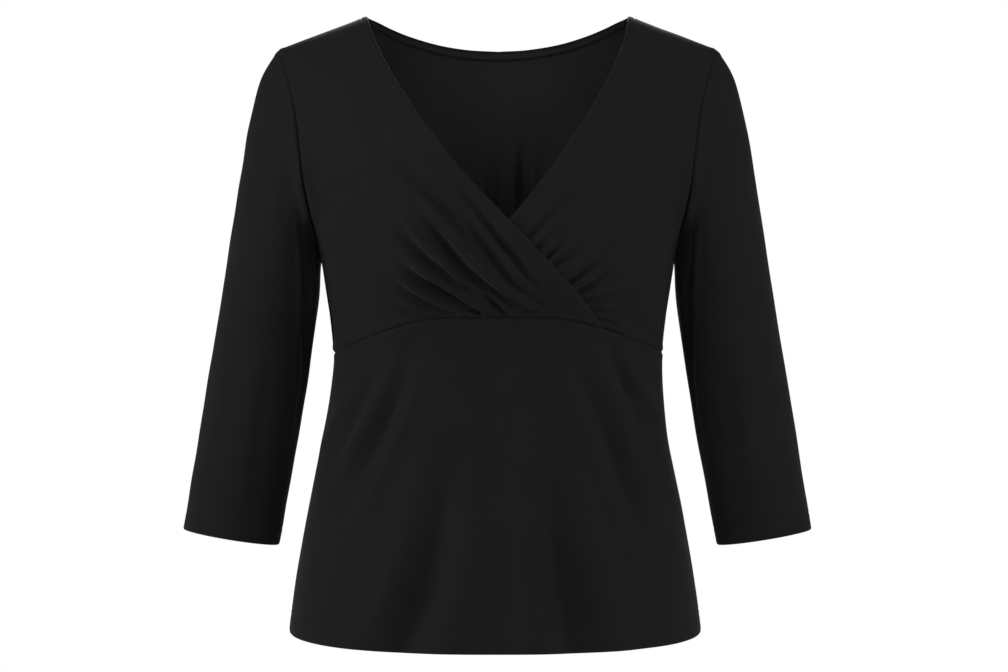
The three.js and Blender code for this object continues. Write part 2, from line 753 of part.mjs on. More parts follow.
function sleeve(side) {
  const stations = Array.from({ length: STEPS.sleeveAlong + 1 }, (_, r) => {
    return (LAST_STATION * r) / STEPS.sleeveAlong;
  });
  const grid = stations.map((station) =>
    RING_TURNS.map((turn) => {
      const lap = SLEEVE_LAP * ease(...LAP_TURNS, Math.min(turn, 2 * Math.PI - turn));
      const seam = armholePoint(side, turn).addScaledVector(armholeNormal(side, turn), lap);
      const kept = (1 - ease(0, ARMHOLE_FADE, station)) ** 1.5;
      return tubePoint(side, station, turn).addScaledVector(
        seam.sub(tubePoint(side, 0, turn)),
        kept,
      );
    }),
  );
  const shaped = displace(grid, true, side, (p, r, c) =>
    sleeveFoldShift(stations[r], RING_TURNS[c]),
  );
  return clothWall(drawBack(shaped, ["bottom"], SLEEVE_DRAW), true, side);
}

const BLACK_JERSEY = { color: 0x1a1a1c, roughness: 0.85, metalness: 0 };

function piece(name, geometry) {
  const mesh = new THREE.Mesh(geometry, new THREE.MeshStandardMaterial(BLACK_JERSEY));
  mesh.name = name;
  return mesh;
}

const wrapTop = new THREE.Group();
wrapTop.add(
  piece("right_front", overFront()),
  piece("left_front", underFront()),
  piece("back_bodice", backBodice()),
  piece("back_neck_band", backNeckBand()),
  piece("lower_front", lowerBody(FRONT, LOWER_FRONT_FOLDS, STEPS.lowerFront)),
  piece("lower_back", lowerBody(BACK, LOWER_BACK_FOLDS, STEPS.lowerBack)),
  piece("right_sleeve", sleeve(OWN_RIGHT)),
  piece("left_sleeve", sleeve(OWN_LEFT)),
);

export default wrapTop;
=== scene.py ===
"""A black jersey wrap top with three-quarter sleeves, in the form it has when it is worn."""

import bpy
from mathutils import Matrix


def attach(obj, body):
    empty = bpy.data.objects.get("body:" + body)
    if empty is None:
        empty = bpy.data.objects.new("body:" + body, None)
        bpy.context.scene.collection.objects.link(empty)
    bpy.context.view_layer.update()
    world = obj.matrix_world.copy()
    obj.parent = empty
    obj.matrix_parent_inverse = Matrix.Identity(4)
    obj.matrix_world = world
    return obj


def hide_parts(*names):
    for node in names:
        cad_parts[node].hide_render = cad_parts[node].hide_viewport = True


bl_info = {
    "name": "Jersey wrap top",
    "version": (1, 0, 0),
    "blender": (4, 5, 0),
    "location": "3D View > Sidebar > Wrap Top",
    "description": "Makes the cloth, the sewing and the studio of a jersey wrap top",
    "category": "Object",
}

import math

import bpy
import numpy as np

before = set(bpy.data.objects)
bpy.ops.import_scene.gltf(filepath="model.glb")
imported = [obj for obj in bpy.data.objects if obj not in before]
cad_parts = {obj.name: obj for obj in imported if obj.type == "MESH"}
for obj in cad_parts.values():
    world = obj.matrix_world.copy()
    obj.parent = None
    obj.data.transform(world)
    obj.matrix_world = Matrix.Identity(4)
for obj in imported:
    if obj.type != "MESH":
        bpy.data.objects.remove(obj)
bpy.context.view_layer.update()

MM = 0.001
FRONT, BACK = -1, 1
OWN_RIGHT, OWN_LEFT = -1, 1

# Heights, widths and form of the top, in millimetres, as in its solids
SHOULDER_TIP = -31.5
UNDERARM = -228
SEAM_SIDE = -320
HEM_SIDE = -583.5
HEM_DIP = {FRONT: 10.5, BACK: 8}
NECK_HALF = 125
TIP_HALF = 210
SEAM_HALF = 156
SHOULDER_SLOPE = -SHOULDER_TIP / (TIP_HALF - NECK_HALF)
RIDGE_BACK = 6
POWER = 2 / 2.35
# Rounds the profile where the chest turns back at the level of the underarms
KINK_REACH = 26
CHEST_KINK = {FRONT: 0.315 / 4 / KINK_REACH, BACK: 0.23 / 4 / KINK_REACH}


def table(columns, *rows):
    """A short table as named columns."""
    return dict(zip(columns.split(), np.array(rows, float).T))


BODY = table(
    "level half_width front_depth back_depth sway",
    (-600, 197.5, 134, 124, -2.4),
    (-560, 192.5, 130, 119, -2.4),
    (-520, 186.5, 125, 113, -2.4),
    (-480, 179.4, 119.5, 107, -2.4),
    (-440, 171.4, 114, 101, -2.4),
    (-400, 163.4, 109.5, 97, -2.3),
    (-360, 158.1, 106.5, 95, -0.8),
    (-320, 155.6, 106, 95, 0.8),
    (-290, 157.8, 110, 97.5, 1.2),
    (-260, 162.6, 119.5, 102, 0.8),
    (-243, 165.6, 124, 105, 0.4),
    (UNDERARM, 168.4, 126, 107, 0),
    (-205, 176, 132.4, 112.5, 0),
    (-180, 187, 137.5, 118, 0),
    (-150, 199, 140.3, 125, 0),
    (-110, 209, 140.8, 131, 0),
    (-70, 216, 140, 134, 0),
    (SHOULDER_TIP, 222, 139, 135, 0),
)
ARMHOLE = table(
    "level half",
    (UNDERARM, 167.6),
    (-215, 170.5),
    (-195, 174.5),
    (-170, 180),
    (-140, 184.5),
    (-110, 189),
    (-80, 195),
    (-55, 202),
    (SHOULDER_TIP, TIP_HALF),
)
OVER_EDGE = table(
    "x z",
    (-125, 0),
    (-115.8, -26),
    (-101.6, -55),
    (-83.2, -85),
    (-60.8, -117),
    (-38.7, -146),
    (-14.5, -173),
    (10.6, -199),
    (31.4, -220),
    (51.9, -242),
    (72.5, -264),
    (93.4, -292),
    (104, -310),
)
UNDER_EDGE = table(
    "x z",
    (125, 0),
    (119.5, -26),
    (107.3, -57),
    (91.2, -87),
    (70.9, -119),
    (48.7, -151),
    (29, -177),
    (10.4, -199),
    (-9, -220),
    (-30, -242),
    (-52, -264),
    (-75, -289),
    (-88, -306),
)
BACK_NECK = table(
    "x z", (0, -26.5), (30, -25.2), (59, -21), (86, -14), (103, -8), (115.5, -2.9), (125, 0)
)
FRONT_SEAM = table(
    "x z",
    (0, -288),
    (45, -288),
    (60, -289),
    (75, -291.5),
    (90, -296),
    (110, -302.5),
    (125, -308),
    (145, -315.5),
    (SEAM_HALF, -320),
)
BACK_SEAM = table("x z", (0, -313), (60, -314), (110, -317), (SEAM_HALF, -320))
SLEEVE = table(
    "station outer_x outer_z inner_x inner_z half_depth",
    (0, TIP_HALF, SHOULDER_TIP, 167.6, UNDERARM, 49),
    (1, 226, -60, 168.6, -236, 51),
    (2, 237.4, -105, 169.3, -245, 53),
    (3, 244.6, -150, 170, -256, 54),
    (4, 252, -197, 171.2, -269, 54),
    (5, 259.6, -246, 173.6, -288, 53),
    (6, 266.4, -291, 177.8, -318, 51.5),
    (7, 274.2, -336, 183.4, -357, 49.5),
    (8, 282.6, -386, 191, -403, 47),
    (9, 290.4, -436, 200, -451, 45),
    (10, 299, -488, 209.2, -503, 43),
)
LAST_STATION = 10
ARMHOLE_FADE = 6
LAP_TURNS = (0.9, 1.5)
SLEEVE_LAP = 1.55

# Folds and gathers, each a trough along a given line as seen from the front: its points,
# its width at both ends, its depth, the share of its length where it is deepest, how deep it
# starts, and how much of its raised lip lies on its upper side
OVER_FOLDS = (
    ([(29, -284), (7, -270), (-8, -259), (-30, -240), (-48, -218), (-62, -200), (-84, -168)],
     2.8, 5.4, 9.0, 0.5, 0.16, 0.85),
    ([(11, -287), (3, -279), (-5, -272), (-17, -261)], 2.0, 2.6, 5.6, 0.45, 0.5, 0.8),
    ([(-26, -261), (-36, -256), (-49, -245), (-66, -231), (-86, -211), (-106, -184)],
     2.8, 5.4, 6.8, 0.35, 0.3, 0.9),
    ([(-16, -283), (-34, -272), (-52, -262), (-68, -253), (-84, -241), (-106, -222)],
     2.3, 4.8, 7.6, 0.42, 0.4, 0.85),
    ([(-40, -284), (-58, -277), (-72, -270), (-88, -260), (-108, -243)],
     2.6, 4.6, 5.0, 0.45, 0.4, 0.8),
    ([(-62, -289), (-74, -285), (-90, -278), (-106, -268)], 2.6, 4.2, 3.0, 0.4, 0.5, 0.8),
    ([(40, -266), (30, -254), (20, -241), (4, -221), (-14, -199), (-31, -176), (-46, -158),
      (-64, -140)], 2.6, 5.4, 5.2, 0.35, 0.2, 0.6),
    ([(43, -278), (33, -269), (20, -259), (8, -247), (-4, -232), (-20, -212), (-38, -188),
      (-54, -168)], 3.0, 5.6, 6.0, 0.4, 0.12, 0.7),
    ([(-8, -238), (-38, -203), (-70, -163), (-96, -137)], 6.0, 8.0, 2.0, 0.4, 0.1, 0.5),
    ([(-62, -190), (-80, -154), (-102, -131), (-134, -98)], 7.0, 11.0, 1.9, 0.4, 0.1, 0.5),
    ([(-96, -243), (-112, -226), (-130, -196)], 7.0, 10.0, 0.9, 0.4, 0.1, 0.5),
    ([(-104, -282), (-124, -268), (-142, -240)], 6.0, 9.0, 1.0, 0.4, 0.1, 0.5),
    ([(16, -286), (28, -281), (43, -283)], 1.8, 1.8, 1.5, 0.5, 0.3, 0.6),
    ([(-8, -286), (-22, -282), (-36, -280)], 2.0, 2.4, 2.2, 0.4, 0.5, 0.5),
    ([(2, -254), (-9, -240), (-25, -223), (-39, -206), (-50, -190), (-75, -157), (-96, -132)],
     3.4, 7.0, 3.4, 0.5, 0.2, 0.6),
)
UNDER_FOLDS = (
    ([(20, -225), (29, -217), (46, -199), (56, -190), (72, -171), (94, -138), (116, -103)],
     3.2, 8.0, 2.6, 0.15, 0.8, 0.3),
    ([(31, -227), (37, -224), (46, -217)], 2.4, 2.8, 2.0, 0.2, 0.9, 0.5),
    ([(42, -238), (47, -233), (55, -225), (64, -214)], 2.6, 4.2, 3.2, 0.25, 0.8, 0.7),
    ([(47, -245), (52, -240), (64, -232), (78, -218)], 2.8, 4.6, 3.4, 0.25, 0.8, 0.7),
    ([(62, -258), (68, -253), (80, -243), (95, -231), (108, -216)], 2.8, 5.4, 3.2, 0.25, 0.8, 0.6),
    ([(68, -268), (73, -264), (86, -255), (100, -244), (116, -228)], 2.8, 5.4, 3.0, 0.25, 0.8, 0.6),
    ([(74, -272), (79, -271), (97, -268), (122, -266), (138, -258)], 2.8, 4.6, 3.0, 0.25, 0.8, 0.8),
    ([(84, -281), (93, -282), (107, -285), (120, -289)], 2.4, 3.6, 1.7, 0.3, 0.8, 0.5),
    ([(88, -287), (97, -290), (108, -294), (122, -299)], 2.2, 3.2, 1.6, 0.3, 0.8, 0.5),
    ([(70, -150), (92, -118), (120, -84), (150, -60)], 8.0, 12.0, 1.8, 0.4, 0.1, 0.5),
    ([(112, -246), (130, -222), (146, -190)], 7.0, 10.0, 0.9, 0.4, 0.1, 0.5),
)
LOWER_FRONT_FOLDS = (
    ([(-74, -306), (-85, -336), (-94, -366), (-114, -409), (-139, -455), (-160, -500)],
     7, 11, 6.4, 0.45, 0.1, 0.5),
    ([(-106, -322), (-116, -345), (-130, -372), (-153, -418), (-166, -444)],
     6, 8, 5.0, 0.5, 0.1, 0.5),
    ([(57, -299), (71, -327), (92, -372), (110, -418), (126, -464), (140, -491), (160, -530)],
     8, 12, 8.0, 0.55, 0.1, 0.5),
    ([(104, -310), (112, -336), (123, -359), (131, -374), (146, -420)], 6, 8, 5.6, 0.4, 0.3, 0.5),
    ([(-94, -606), (-66, -540), (-52, -473), (-40, -410), (-34, -360)], 21, 11, 12, 0.2, 1, 0.5),
    ([(76, -606), (66, -546), (54, -473), (46, -400), (36, -350)], 21, 11, 14, 0.2, 1, 0.5),
    ([(-20, -292), (-26, -330), (-34, -372)], 6, 9, 0.9, 0.3, 0.6, 0.5),
    ([(22, -292), (24, -326), (32, -366)], 6, 9, 0.8, 0.3, 0.6, 0.5),
    ([(-128, -600), (-124, -520), (-130, -450)], 17, 12, 2.4, 0.2, 1, 0.5),
    ([(132, -600), (130, -540), (122, -470)], 16, 12, 2.2, 0.2, 1, 0.5),
    ([(0, -600), (0, -530), (3, -470)], 17, 12, 1.6, 0.2, 1, 0.5),
)
BACK_FOLDS = (
    ([(-56, -318), (-61, -282), (-71, -236)], 5.0, 9.0, 2.6, 0.25, 0.7, 0.5),
    ([(-34, -317), (-40, -260), (-45, -196)], 4.8, 9.5, 3.2, 0.3, 0.7, 0.5),
    ([(-15, -316), (-17, -290), (-19, -262)], 4.2, 7.0, 2.4, 0.3, 0.7, 0.5),
    ([(-22, -294), (-14, -232), (-6, -172), (-7, -118)], 7.0, 5.5, -5.8, 0.66, 0.2, 0.5),
    ([(-3, -316), (-1, -250), (4, -186), (5, -120)], 6.0, 4.4, 5.0, 0.62, 0.4, 0.5),
    ([(19, -266), (16, -220), (15, -180), (17, -112)], 5.0, 4.2, 4.8, 0.6, 0.1, 0.5),
    ([(18, -316), (20, -286), (23, -250)], 5.4, 8.5, 2.6, 0.3, 0.7, 0.5),
    ([(38, -298), (29, -230), (24, -162), (26, -98)], 7.0, 5.5, -5.4, 0.66, 0.1, 0.5),
    ([(43, -317), (46, -250), (54, -178)], 5.0, 9.5, 3.4, 0.3, 0.7, 0.5),
    ([(66, -318), (71, -286), (80, -244)], 5.2, 9.0, 2.4, 0.25, 0.7, 0.5),
    ([(-84, -318), (-94, -280), (-112, -232)], 6, 10, 1.4, 0.3, 0.6, 0.5),
    ([(88, -318), (98, -276), (118, -226)], 6, 10, 1.5, 0.3, 0.6, 0.5),
)
LOWER_BACK_FOLDS = (
    ([(-96, -600), (-78, -480), (-56, -340)], 24, 12, 6, 0.2, 1, 0.5),
    ([(-26, -600), (-20, -490), (-12, -350)], 24, 12, 6.5, 0.2, 1, 0.5),
    ([(44, -600), (34, -480), (22, -340)], 24, 12, 6, 0.2, 1, 0.5),
    ([(112, -600), (96, -480), (70, -360)], 22, 12, 5.5, 0.2, 1, 0.5),
    ([(-130, -322), (-138, -380), (-150, -450)], 8, 13, 2.2, 0.4, 0.2, 0.5),
    ([(-62, -318), (-60, -352), (-66, -396)], 5, 9, 1.3, 0.25, 0.8, 0.5),
    ([(4, -316), (6, -350), (2, -392)], 5, 9, 1.4, 0.25, 0.8, 0.5),
    ([(60, -318), (62, -350), (70, -398)], 5, 9, 1.3, 0.25, 0.8, 0.5),
    ([(136, -322), (142, -384), (156, -446)], 8, 13, 2.0, 0.4, 0.2, 0.5),
)

# Folds of a sleeve: turn in degrees from its upper line towards the front, at its start and end
SLEEVE_FOLDS = table(
    "turn_from turn_to start end width depth",
    (120, 157, 0.6, 7.2, 7.5, 9.5),
    (156, 160, 4.2, 9, 6, 1.2),
    (232, 230, 1, 6, 9, 2.4),
    (72, 66, 5, 9.5, 12, 1.2),
    (104, 92, 0.4, 3.2, 8, 0.5),
    (146, 138, 0.8, 2.8, 4.5, 0.6),
    (212, 236, 0.6, 3.4, 5, 1.4),
    (100, 112, 6.2, 9.8, 7, 0.9),
    (262, 270, 4, 8.6, 11, 1.3),
    (196, 204, 3, 7.4, 6, 1.2),
)

# The lip beside a trough, as shares of its depth and width, and how sharp its bottom is
LIP = 0.5
LEAN = 0.9
LIP_AWAY = 1.75
LIP_WIDTH = 0.85
TROUGH_POWER = 1.6
# A sleeve's troughs are steeper towards its upper line, and their lips differ a little
SLEEVE_LEAN = 1.4
SLEEVE_LIP = 0.4
SLEEVE_LIP_AWAY = 1.8
SLEEVE_LIP_WIDTH = 0.9

# How the fronts pass each other, and the fullness over their gathers
OVER_LIFT = 1.6
LIFT_RAMP = 15
LIFT_ABOVE_SEAM = 22
EDGE_HUG = 0.9
EDGE_HUG_WIDTH = 2.6
UNDER_DROP = 2.2
DROP_RAMP = (-20, -1)
HIDDEN_DROP = 6.5
HIDDEN_RAMP = (8, 38)
CUP = {"x": 76, "z": -226, "radius_x": 52, "radius_z": 46, "rise": 5}
# The cloth is sunk just above the underarm and laid flat across the front armhole above that
TUCK_DEPTH = 5
TUCK_WIDTH = 6
TUCK_RAMPS = ((-190, -208), (UNDERARM, -215))
FLAT_LIFT = 10
FLAT_WIDTH = 15
FLAT_RAMPS = ((-105, -150), (-214, -194))
# Distances over which folds grow to their full depth, and the share of it beside a seam
SIDE_HOLD = (0, 11)
SEAM_HOLD = (0, 5)
SEAM_SHARE = 0.12
OVER_EDGE_HOLD = (3, 14)
UNDER_EDGE_HOLD = (3, 12)

# Close grid steps in millimetres beside a seam, over a turned edge and over a hem
SEAM_STEPS = (0, 0.5, 1.1, 1.9, 2.9, 4.2)
EDGE_STEPS = (0, 0.5, 1.2, 2.1, 3.2, 4.2, 4.9, 5.4, 5.9, 6.4, 6.9, 7.6, 8.6, 9.9, 11.4)
HEM_STEPS = (
    *(0, 0.5, 1.2, 2.4, 4, 6, 8, 10, 12, 13.2, 14, 14.5, 15, 15.6, 16.5, 17.4, 18, 18.5),
    *(19, 19.6, 20.4, 21.6),
)
# Even steps between a front's side and a line that hardly follows the corner under the arm
KNEE_TURN = 0.3
KNEE_COLUMNS = 18
# Samples along a curve, from which the grid points on it are read
SAMPLES = {"level": 801, "grain": 361, "front": 420, "back": 500, "lower": 1201, "sleeve": 901}
# The shoulder's length in the steps beside the back's armhole, and the sleeve's girth
SHOULDER_RUN = 230
SLEEVE_GIRTH = 330

# Where a sleeve's rows are measured out, as a turn from its upper line
SLEEVE_LINE = 1.6
# Halvings in which a root is found
HALVINGS = 36
# Waves of the cloth's unevenness: how many, the shortest, and the range of their lengths
WAVES = 9
WAVE_SHORTEST = 28
WAVE_RANGE = 60

# Thickness of the cloth's wall, the extra inside a turned edge, and how round a free rim is
WALL = 1.2
TURNED = 0.6
RIM = 0.9
# Where the turned edge ends past its depth, and how near to a free edge a point is on it
TURNED_FADE = (0.4, 1.3)
ON_EDGE = 0.01
# The least that a mitred direction may keep of its length, squared
MITRE_LEAST = 0.05
# How far sewn borders are drawn back: below 0 neighbouring walls overlap by a hair
SEAM_DRAW = -0.02
SLEEVE_DRAW = 0.12
# Sewn borders of each panel, with the axis that their rims lie square to
FRONT_RIMS = (("bottom", 2), ("top", 1), ("first", 1))
BACK_RIMS = (("bottom", 2), ("first", 1), ("last", 1))
LOWER_RIMS = (("first", 1), ("last", 1), ("top", 2))
SLEEVE_RIMS = (("bottom", None),)
# The band inside the back neck edge
BAND_WALL = 1
BAND_CLEAR = 0.4
BAND_ROWS = 12
NECK_MARGIN = 0.001
# The rows beside the back neck edge that hold its stitches, and where these end
NECK_ROWS = 20
NECK_STITCH_MARGIN = 0.01
# Rings and sides of a stitch, its thickness at the ends, how flat it is, and how far it
# stands out of the cloth in its middle and lies in it at its ends
THREAD_RINGS = 5
THREAD_SIDES = 6
THREAD_ENDS = 0.35
THREAD_FLAT = 0.8
THREAD_RISE = 0.55
THREAD_SINK = 0.35


def mix(a, b, share):
    return a + (b - a) * share


def ease(start, end, value):
    share = np.clip((value - start) / (end - start), 0, 1)
    return share * share * (3 - 2 * share)


def bump(value):
    return np.exp(-value * value)


def relief(distance, *waves):
    """A sum of soft waves across the cloth, each with a height, a place and a width."""
    return sum(height * bump((distance - place) / width) for height, place, width in waves)


def unit(ways):
    return ways / np.maximum(np.linalg.norm(ways, axis=-1, keepdims=True), 1e-9)


def curve(rows, key, column):
    """A smooth curve through one column of a table, read by another column."""
    order = np.argsort(rows[key])
    keys, values = rows[key][order], rows[column][order]
    last = len(keys) - 1
    index = np.arange(last + 1)
    before, after = np.maximum(index - 1, 0), np.minimum(index + 1, last)
    slopes = (values[after] - values[before]) / (keys[after] - keys[before])

    def at(place):
        place = np.clip(place, keys[0], keys[-1])
        i = np.clip(np.searchsorted(keys, place) - 1, 0, last - 1)
        span = keys[i + 1] - keys[i]
        u = (place - keys[i]) / span
        held = values[i] * (1 + 2 * u) * (1 - u) ** 2 + slopes[i] * span * u * (1 - u) ** 2
        return held + values[i + 1] * u * u * (3 - 2 * u) + slopes[i + 1] * span * u * u * (u - 1)

    return at


HALF_WIDTH = curve(BODY, "level", "half_width")
DEPTH = {
    FRONT: curve(BODY, "level", "front_depth"),
    BACK: curve(BODY, "level", "back_depth"),
}
SWAY = curve(BODY, "level", "sway")
ARMHOLE_HALF = curve(ARMHOLE, "level", "half")
SEAM_HEIGHT = {FRONT: curve(FRONT_SEAM, "x", "z"), BACK: curve(BACK_SEAM, "x", "z")}
OVER_EDGE_X = curve(OVER_EDGE, "z", "x")
UNDER_EDGE_X = curve(UNDER_EDGE, "z", "x")
BACK_NECK_Z = curve(BACK_NECK, "x", "z")
SLEEVE_AT = {name: curve(SLEEVE, "station", name) for name in SLEEVE}


def rise(level):
    """The share of the way from the underarm to the shoulder line."""
    return np.clip((level - UNDERARM) / (SHOULDER_TIP - UNDERARM), 0, 1)


def shoulder_line(x):
    return (NECK_HALF - np.abs(x)) * SHOULDER_SLOPE


def level_of(x, z):
    share = (z - UNDERARM) / (shoulder_line(x) - UNDERARM)
    return np.where(z <= UNDERARM, z, mix(UNDERARM, SHOULDER_TIP, share))


def body_point(side, face, turn, level):
    """A point of the body, turned from one side seam (0) past the middle to the other."""
    turn, level = np.broadcast_arrays(np.asarray(turn, float), np.asarray(level, float))
    across = np.cos(turn)
    x = side * HALF_WIDTH(level) * np.sign(across) * np.abs(across) ** POWER
    reach = DEPTH[face](level) * np.sqrt(1 - rise(level))
    z = np.where(level <= UNDERARM, level, mix(UNDERARM, shoulder_line(x), rise(level)))
    reach = reach - CHEST_KINK[face] * np.clip(KINK_REACH - np.abs(z - UNDERARM), 0, None) ** 2
    y = face * reach * np.maximum(np.sin(turn), 0) ** POWER + RIDGE_BACK * rise(level)
    return np.stack([x + SWAY(level), y, z], -1)


def armhole_turn(level):
    share = np.clip(ARMHOLE_HALF(level) / HALF_WIDTH(level), 0, 1)
    return np.where(level <= UNDERARM, 0, np.arccos(share ** (1 / POWER)))


def seam_level(face, turn):
    return SEAM_HEIGHT[face](SEAM_HALF * np.abs(np.cos(turn)) ** POWER)


def solve(low, high, falling):
    """The roots of a falling function, one for each element."""
    low, high = np.broadcast_arrays(np.asarray(low, float), np.asarray(high, float))
    low, high = low.copy(), high.copy()
    for _ in range(HALVINGS):
        middle = (low + high) / 2
        above = falling(middle) > 0
        low, high = np.where(above, middle, low), np.where(above, high, middle)
    return (low + high) / 2


def lengths(points, axis):
    """Distances along a grid's rows (axis 1) or columns (axis 0) from its first border."""
    steps = np.linalg.norm(np.diff(points, axis=axis), axis=-1)
    return np.concatenate([np.zeros_like(np.take(steps, [0], axis)), np.cumsum(steps, axis)], axis)


def places(total, first, last, count, knee=None, knee_count=0):
    """Distances along rows of different lengths: close steps at both borders, even between.
    With a knee the even steps differ before and after it."""
    total = np.asarray(total, float)[:, None]
    low, high = np.atleast_2d(first) + 0 * total, total - np.atleast_2d(last)[:, ::-1]
    parts = [low]
    if knee is not None:
        share = np.linspace(0, 1, knee_count + 1)[1:][None]
        parts.append(mix(low[:, -1:], np.asarray(knee)[:, None], share))
    share = np.linspace(0, 1, count + 2)[1:-1][None]
    return np.concatenate([*parts, mix(parts[-1][:, -1:], high[:, :1], share), high], 1)


def low_levels(low):
    """Side levels of a panel's rows from its seam to the underarm, close together at the seam."""
    near = np.array(SEAM_STEPS)
    even = np.linspace(near[-1], UNDERARM - SEAM_SIDE, low + 1)[:-1]
    return SEAM_SIDE + np.concatenate([near[:-1], even])


def row_levels(face, turn, low, high):
    """Side levels of a panel's rows, evenly along the cloth above the underarm."""
    shares = 1 - (1 - np.linspace(0, 1, SAMPLES["level"])) ** 2
    fine = mix(UNDERARM, SHOULDER_TIP, shares)
    along = lengths(body_point(1, face, turn, fine)[:, None], 0)[:, 0]
    return np.concatenate([low_levels(low), np.interp(np.linspace(0, along[-1], high + 1), along, fine)])


def row_level_at(face, side_level, turn):
    share = (side_level - SEAM_SIDE) / (UNDERARM - SEAM_SIDE)
    low = mix(seam_level(face, turn), UNDERARM, share)
    return np.where(side_level >= UNDERARM, side_level, low)


def grid_normals(points, around, outward):
    """Outward directions at each point of a grid."""
    if around:
        along = np.roll(points, -1, 1) - np.roll(points, 1, 1)
    else:
        along = np.gradient(points, axis=1)
    return unit(np.cross(along, np.gradient(points, axis=0)) * outward)


def smooth_line(points, steps=10):
    """Points along a curve through given points."""
    points = np.array(points, float)
    padded = np.concatenate([[2 * points[0] - points[1]], points, [2 * points[-1] - points[-2]]])
    t = np.linspace(0, 1, steps, endpoint=False)[:, None]
    parts = []
    for a, b, c, d in zip(padded, padded[1:], padded[2:], padded[3:]):
        bend = (-a + 3 * b - 3 * c + d) * t**3 + (2 * a - 5 * b + 4 * c - d) * t**2
        parts.append(0.5 * (bend + (c - a) * t + 2 * b))
    return np.concatenate([*parts, points[-1:]])


def fold_shift(folds, x, z):
    """How far the folds move the cloth outwards at places seen from the front."""
    place = np.stack([x, z], -1).reshape(-1, 2)
    total = np.zeros(len(place))
    for points, width0, width1, depth, peak, root, upper in folds:
        line = smooth_line(points)
        reach = 4 * max(width0, width1)
        low, high = line.min(0) - reach, line.max(0) + reach
        near = np.flatnonzero(((place > low) & (place < high)).all(1))
        if not len(near):
            continue
        start, step = line[:-1], np.diff(line, axis=0)
        away = place[near][:, None] - start[None]
        share = np.clip((away * step).sum(-1) / (step * step).sum(-1), 0, 1)
        gap = away - share[..., None] * step
        distance = np.linalg.norm(gap, axis=-1)
        best = distance.argmin(1)
        pick = np.arange(len(near)), best
        run = lengths(line[:, None], 0)[:, 0]
        along = (run[best] + share[pick] * (run[best + 1] - run[best])) / run[-1]
        # How far the place lies to the upper side of the line: 1 above it and 0 below it
        across = np.stack([-step[best, 1], step[best, 0]], -1)
        across = unit(across) * np.where(across[:, 1:] < 0, -1, 1)
        above = 0.5 + 0.5 * (gap[pick] * across).sum(-1) / np.maximum(distance[pick], 1e-6)
        width = mix(width0, width1, along) * (1 + max(upper - 0.5, 0) * LEAN * (1 - above))
        strength = mix(root, 1, ease(0, peak, along)) * (1 - ease(peak, 1, along))
        off = distance[pick] / width
        lip = LIP * bump((off - LIP_AWAY) / LIP_WIDTH) * 2 * mix(1 - upper, upper, above)
        total[near] += depth * strength * (lip - np.exp(-(off**TROUGH_POWER)))
    return total.reshape(x.shape)


def cup_rise(x, z):
    across, up = (np.abs(x) - CUP["x"]) / CUP["radius_x"], (z - CUP["z"]) / CUP["radius_z"]
    return CUP["rise"] * bump(across) * bump(up)


def ripple(u, v, seed, height):
    """A soft unevenness of the cloth, the same on every run."""
    random = np.random.default_rng(seed)
    total = np.zeros_like(u)
    for _ in range(WAVES):
        heading, size, phase = random.random(3) * (math.pi, WAVE_RANGE, 2 * math.pi)
        size += WAVE_SHORTEST
        run = u * math.cos(heading) + v * math.sin(heading)
        total += np.sin(run * 2 * math.pi / size + phase)
    return height * total / math.sqrt(WAVES)


def gathers(panel, folds, seed, height, share=1.0):
    """Folds and ripples of a panel, which its seams hold flat."""
    x, z = panel.points[..., 0], panel.points[..., 2]
    held = mix(SEAM_SHARE, 1, ease(*SEAM_HOLD, panel.to_seam))
    folded = fold_shift(folds, x, z) * share * held
    return (folded + ripple(x, z, seed, height)) * ease(*SIDE_HOLD, panel.to_side)


def tucked(points, distance, front=1.0):
    """Lays the cloth flat across the front armhole seam, and sinks it in just above the underarm."""
    z = points[..., 2]
    sunk = TUCK_DEPTH * bump(distance / TUCK_WIDTH)
    flat = FLAT_LIFT * bump(distance / FLAT_WIDTH)
    for tuck_ramp, flat_ramp in zip(TUCK_RAMPS, FLAT_RAMPS):
        sunk = sunk * ease(*tuck_ramp, z)
        flat = flat * ease(*flat_ramp, z)
    points = points.copy()
    points[..., 1] += (sunk - flat) * front
    return points


def seam_dip(distance, depth=0.9):
    """The cloth turns in at a seam and swells beside it."""
    return depth * relief(distance, (0.4, 4.2, 2.2), (-1, 0, 1.5))


def edge_relief(distance, inset):
    """A turned edge swells between its fold and its stitches, which press a line into it."""
    fold, swell = (-0.35, 0, 0.7), (0.45, inset / 2, inset * 0.42)
    return relief(distance, fold, swell, (-0.5, inset, 0.75), (0.22, inset + 2.6, 1.4))


def hem_relief(distance, depth, gap):
    """The cloth is pressed down by the two rows of stitches above a hem."""
    rows = (-0.32, depth, 0.8), (-0.32, depth - gap, 0.8)
    return relief(distance, (-0.3, 0, 0.7), *rows, (0.15, depth - gap / 2, 0.8))


# Each border of a grid and the line beside it
BORDERS = {
    "bottom": (np.s_[0], np.s_[1]),
    "top": (np.s_[-1], np.s_[-2]),
    "first": (np.s_[:, 0], np.s_[:, 1]),
    "last": (np.s_[:, -1], np.s_[:, -2]),
}


def draw_back(points, borders, by):
    """Draws the sewn borders of a grid back, square to the seam."""
    points = points.copy()
    for border in borders:
        at, beside = BORDERS[border]
        line = points[at]
        along = unit(np.gradient(line, axis=0))
        inward = points[beside] - line
        inward -= along * (inward * along).sum(-1, keepdims=True)
        line += by * unit(inward)
    return points


def mitred(normals, rims):
    """Turns the offset directions of sewn borders, so that their rims lie square to one axis."""
    normals = normals.copy()
    for border, axis in rims:
        if axis is not None:
            line = normals[BORDERS[border][0]]
            line[..., axis] = 0
            line /= np.maximum((line * line).sum(-1, keepdims=True), MITRE_LEAST)
    return normals


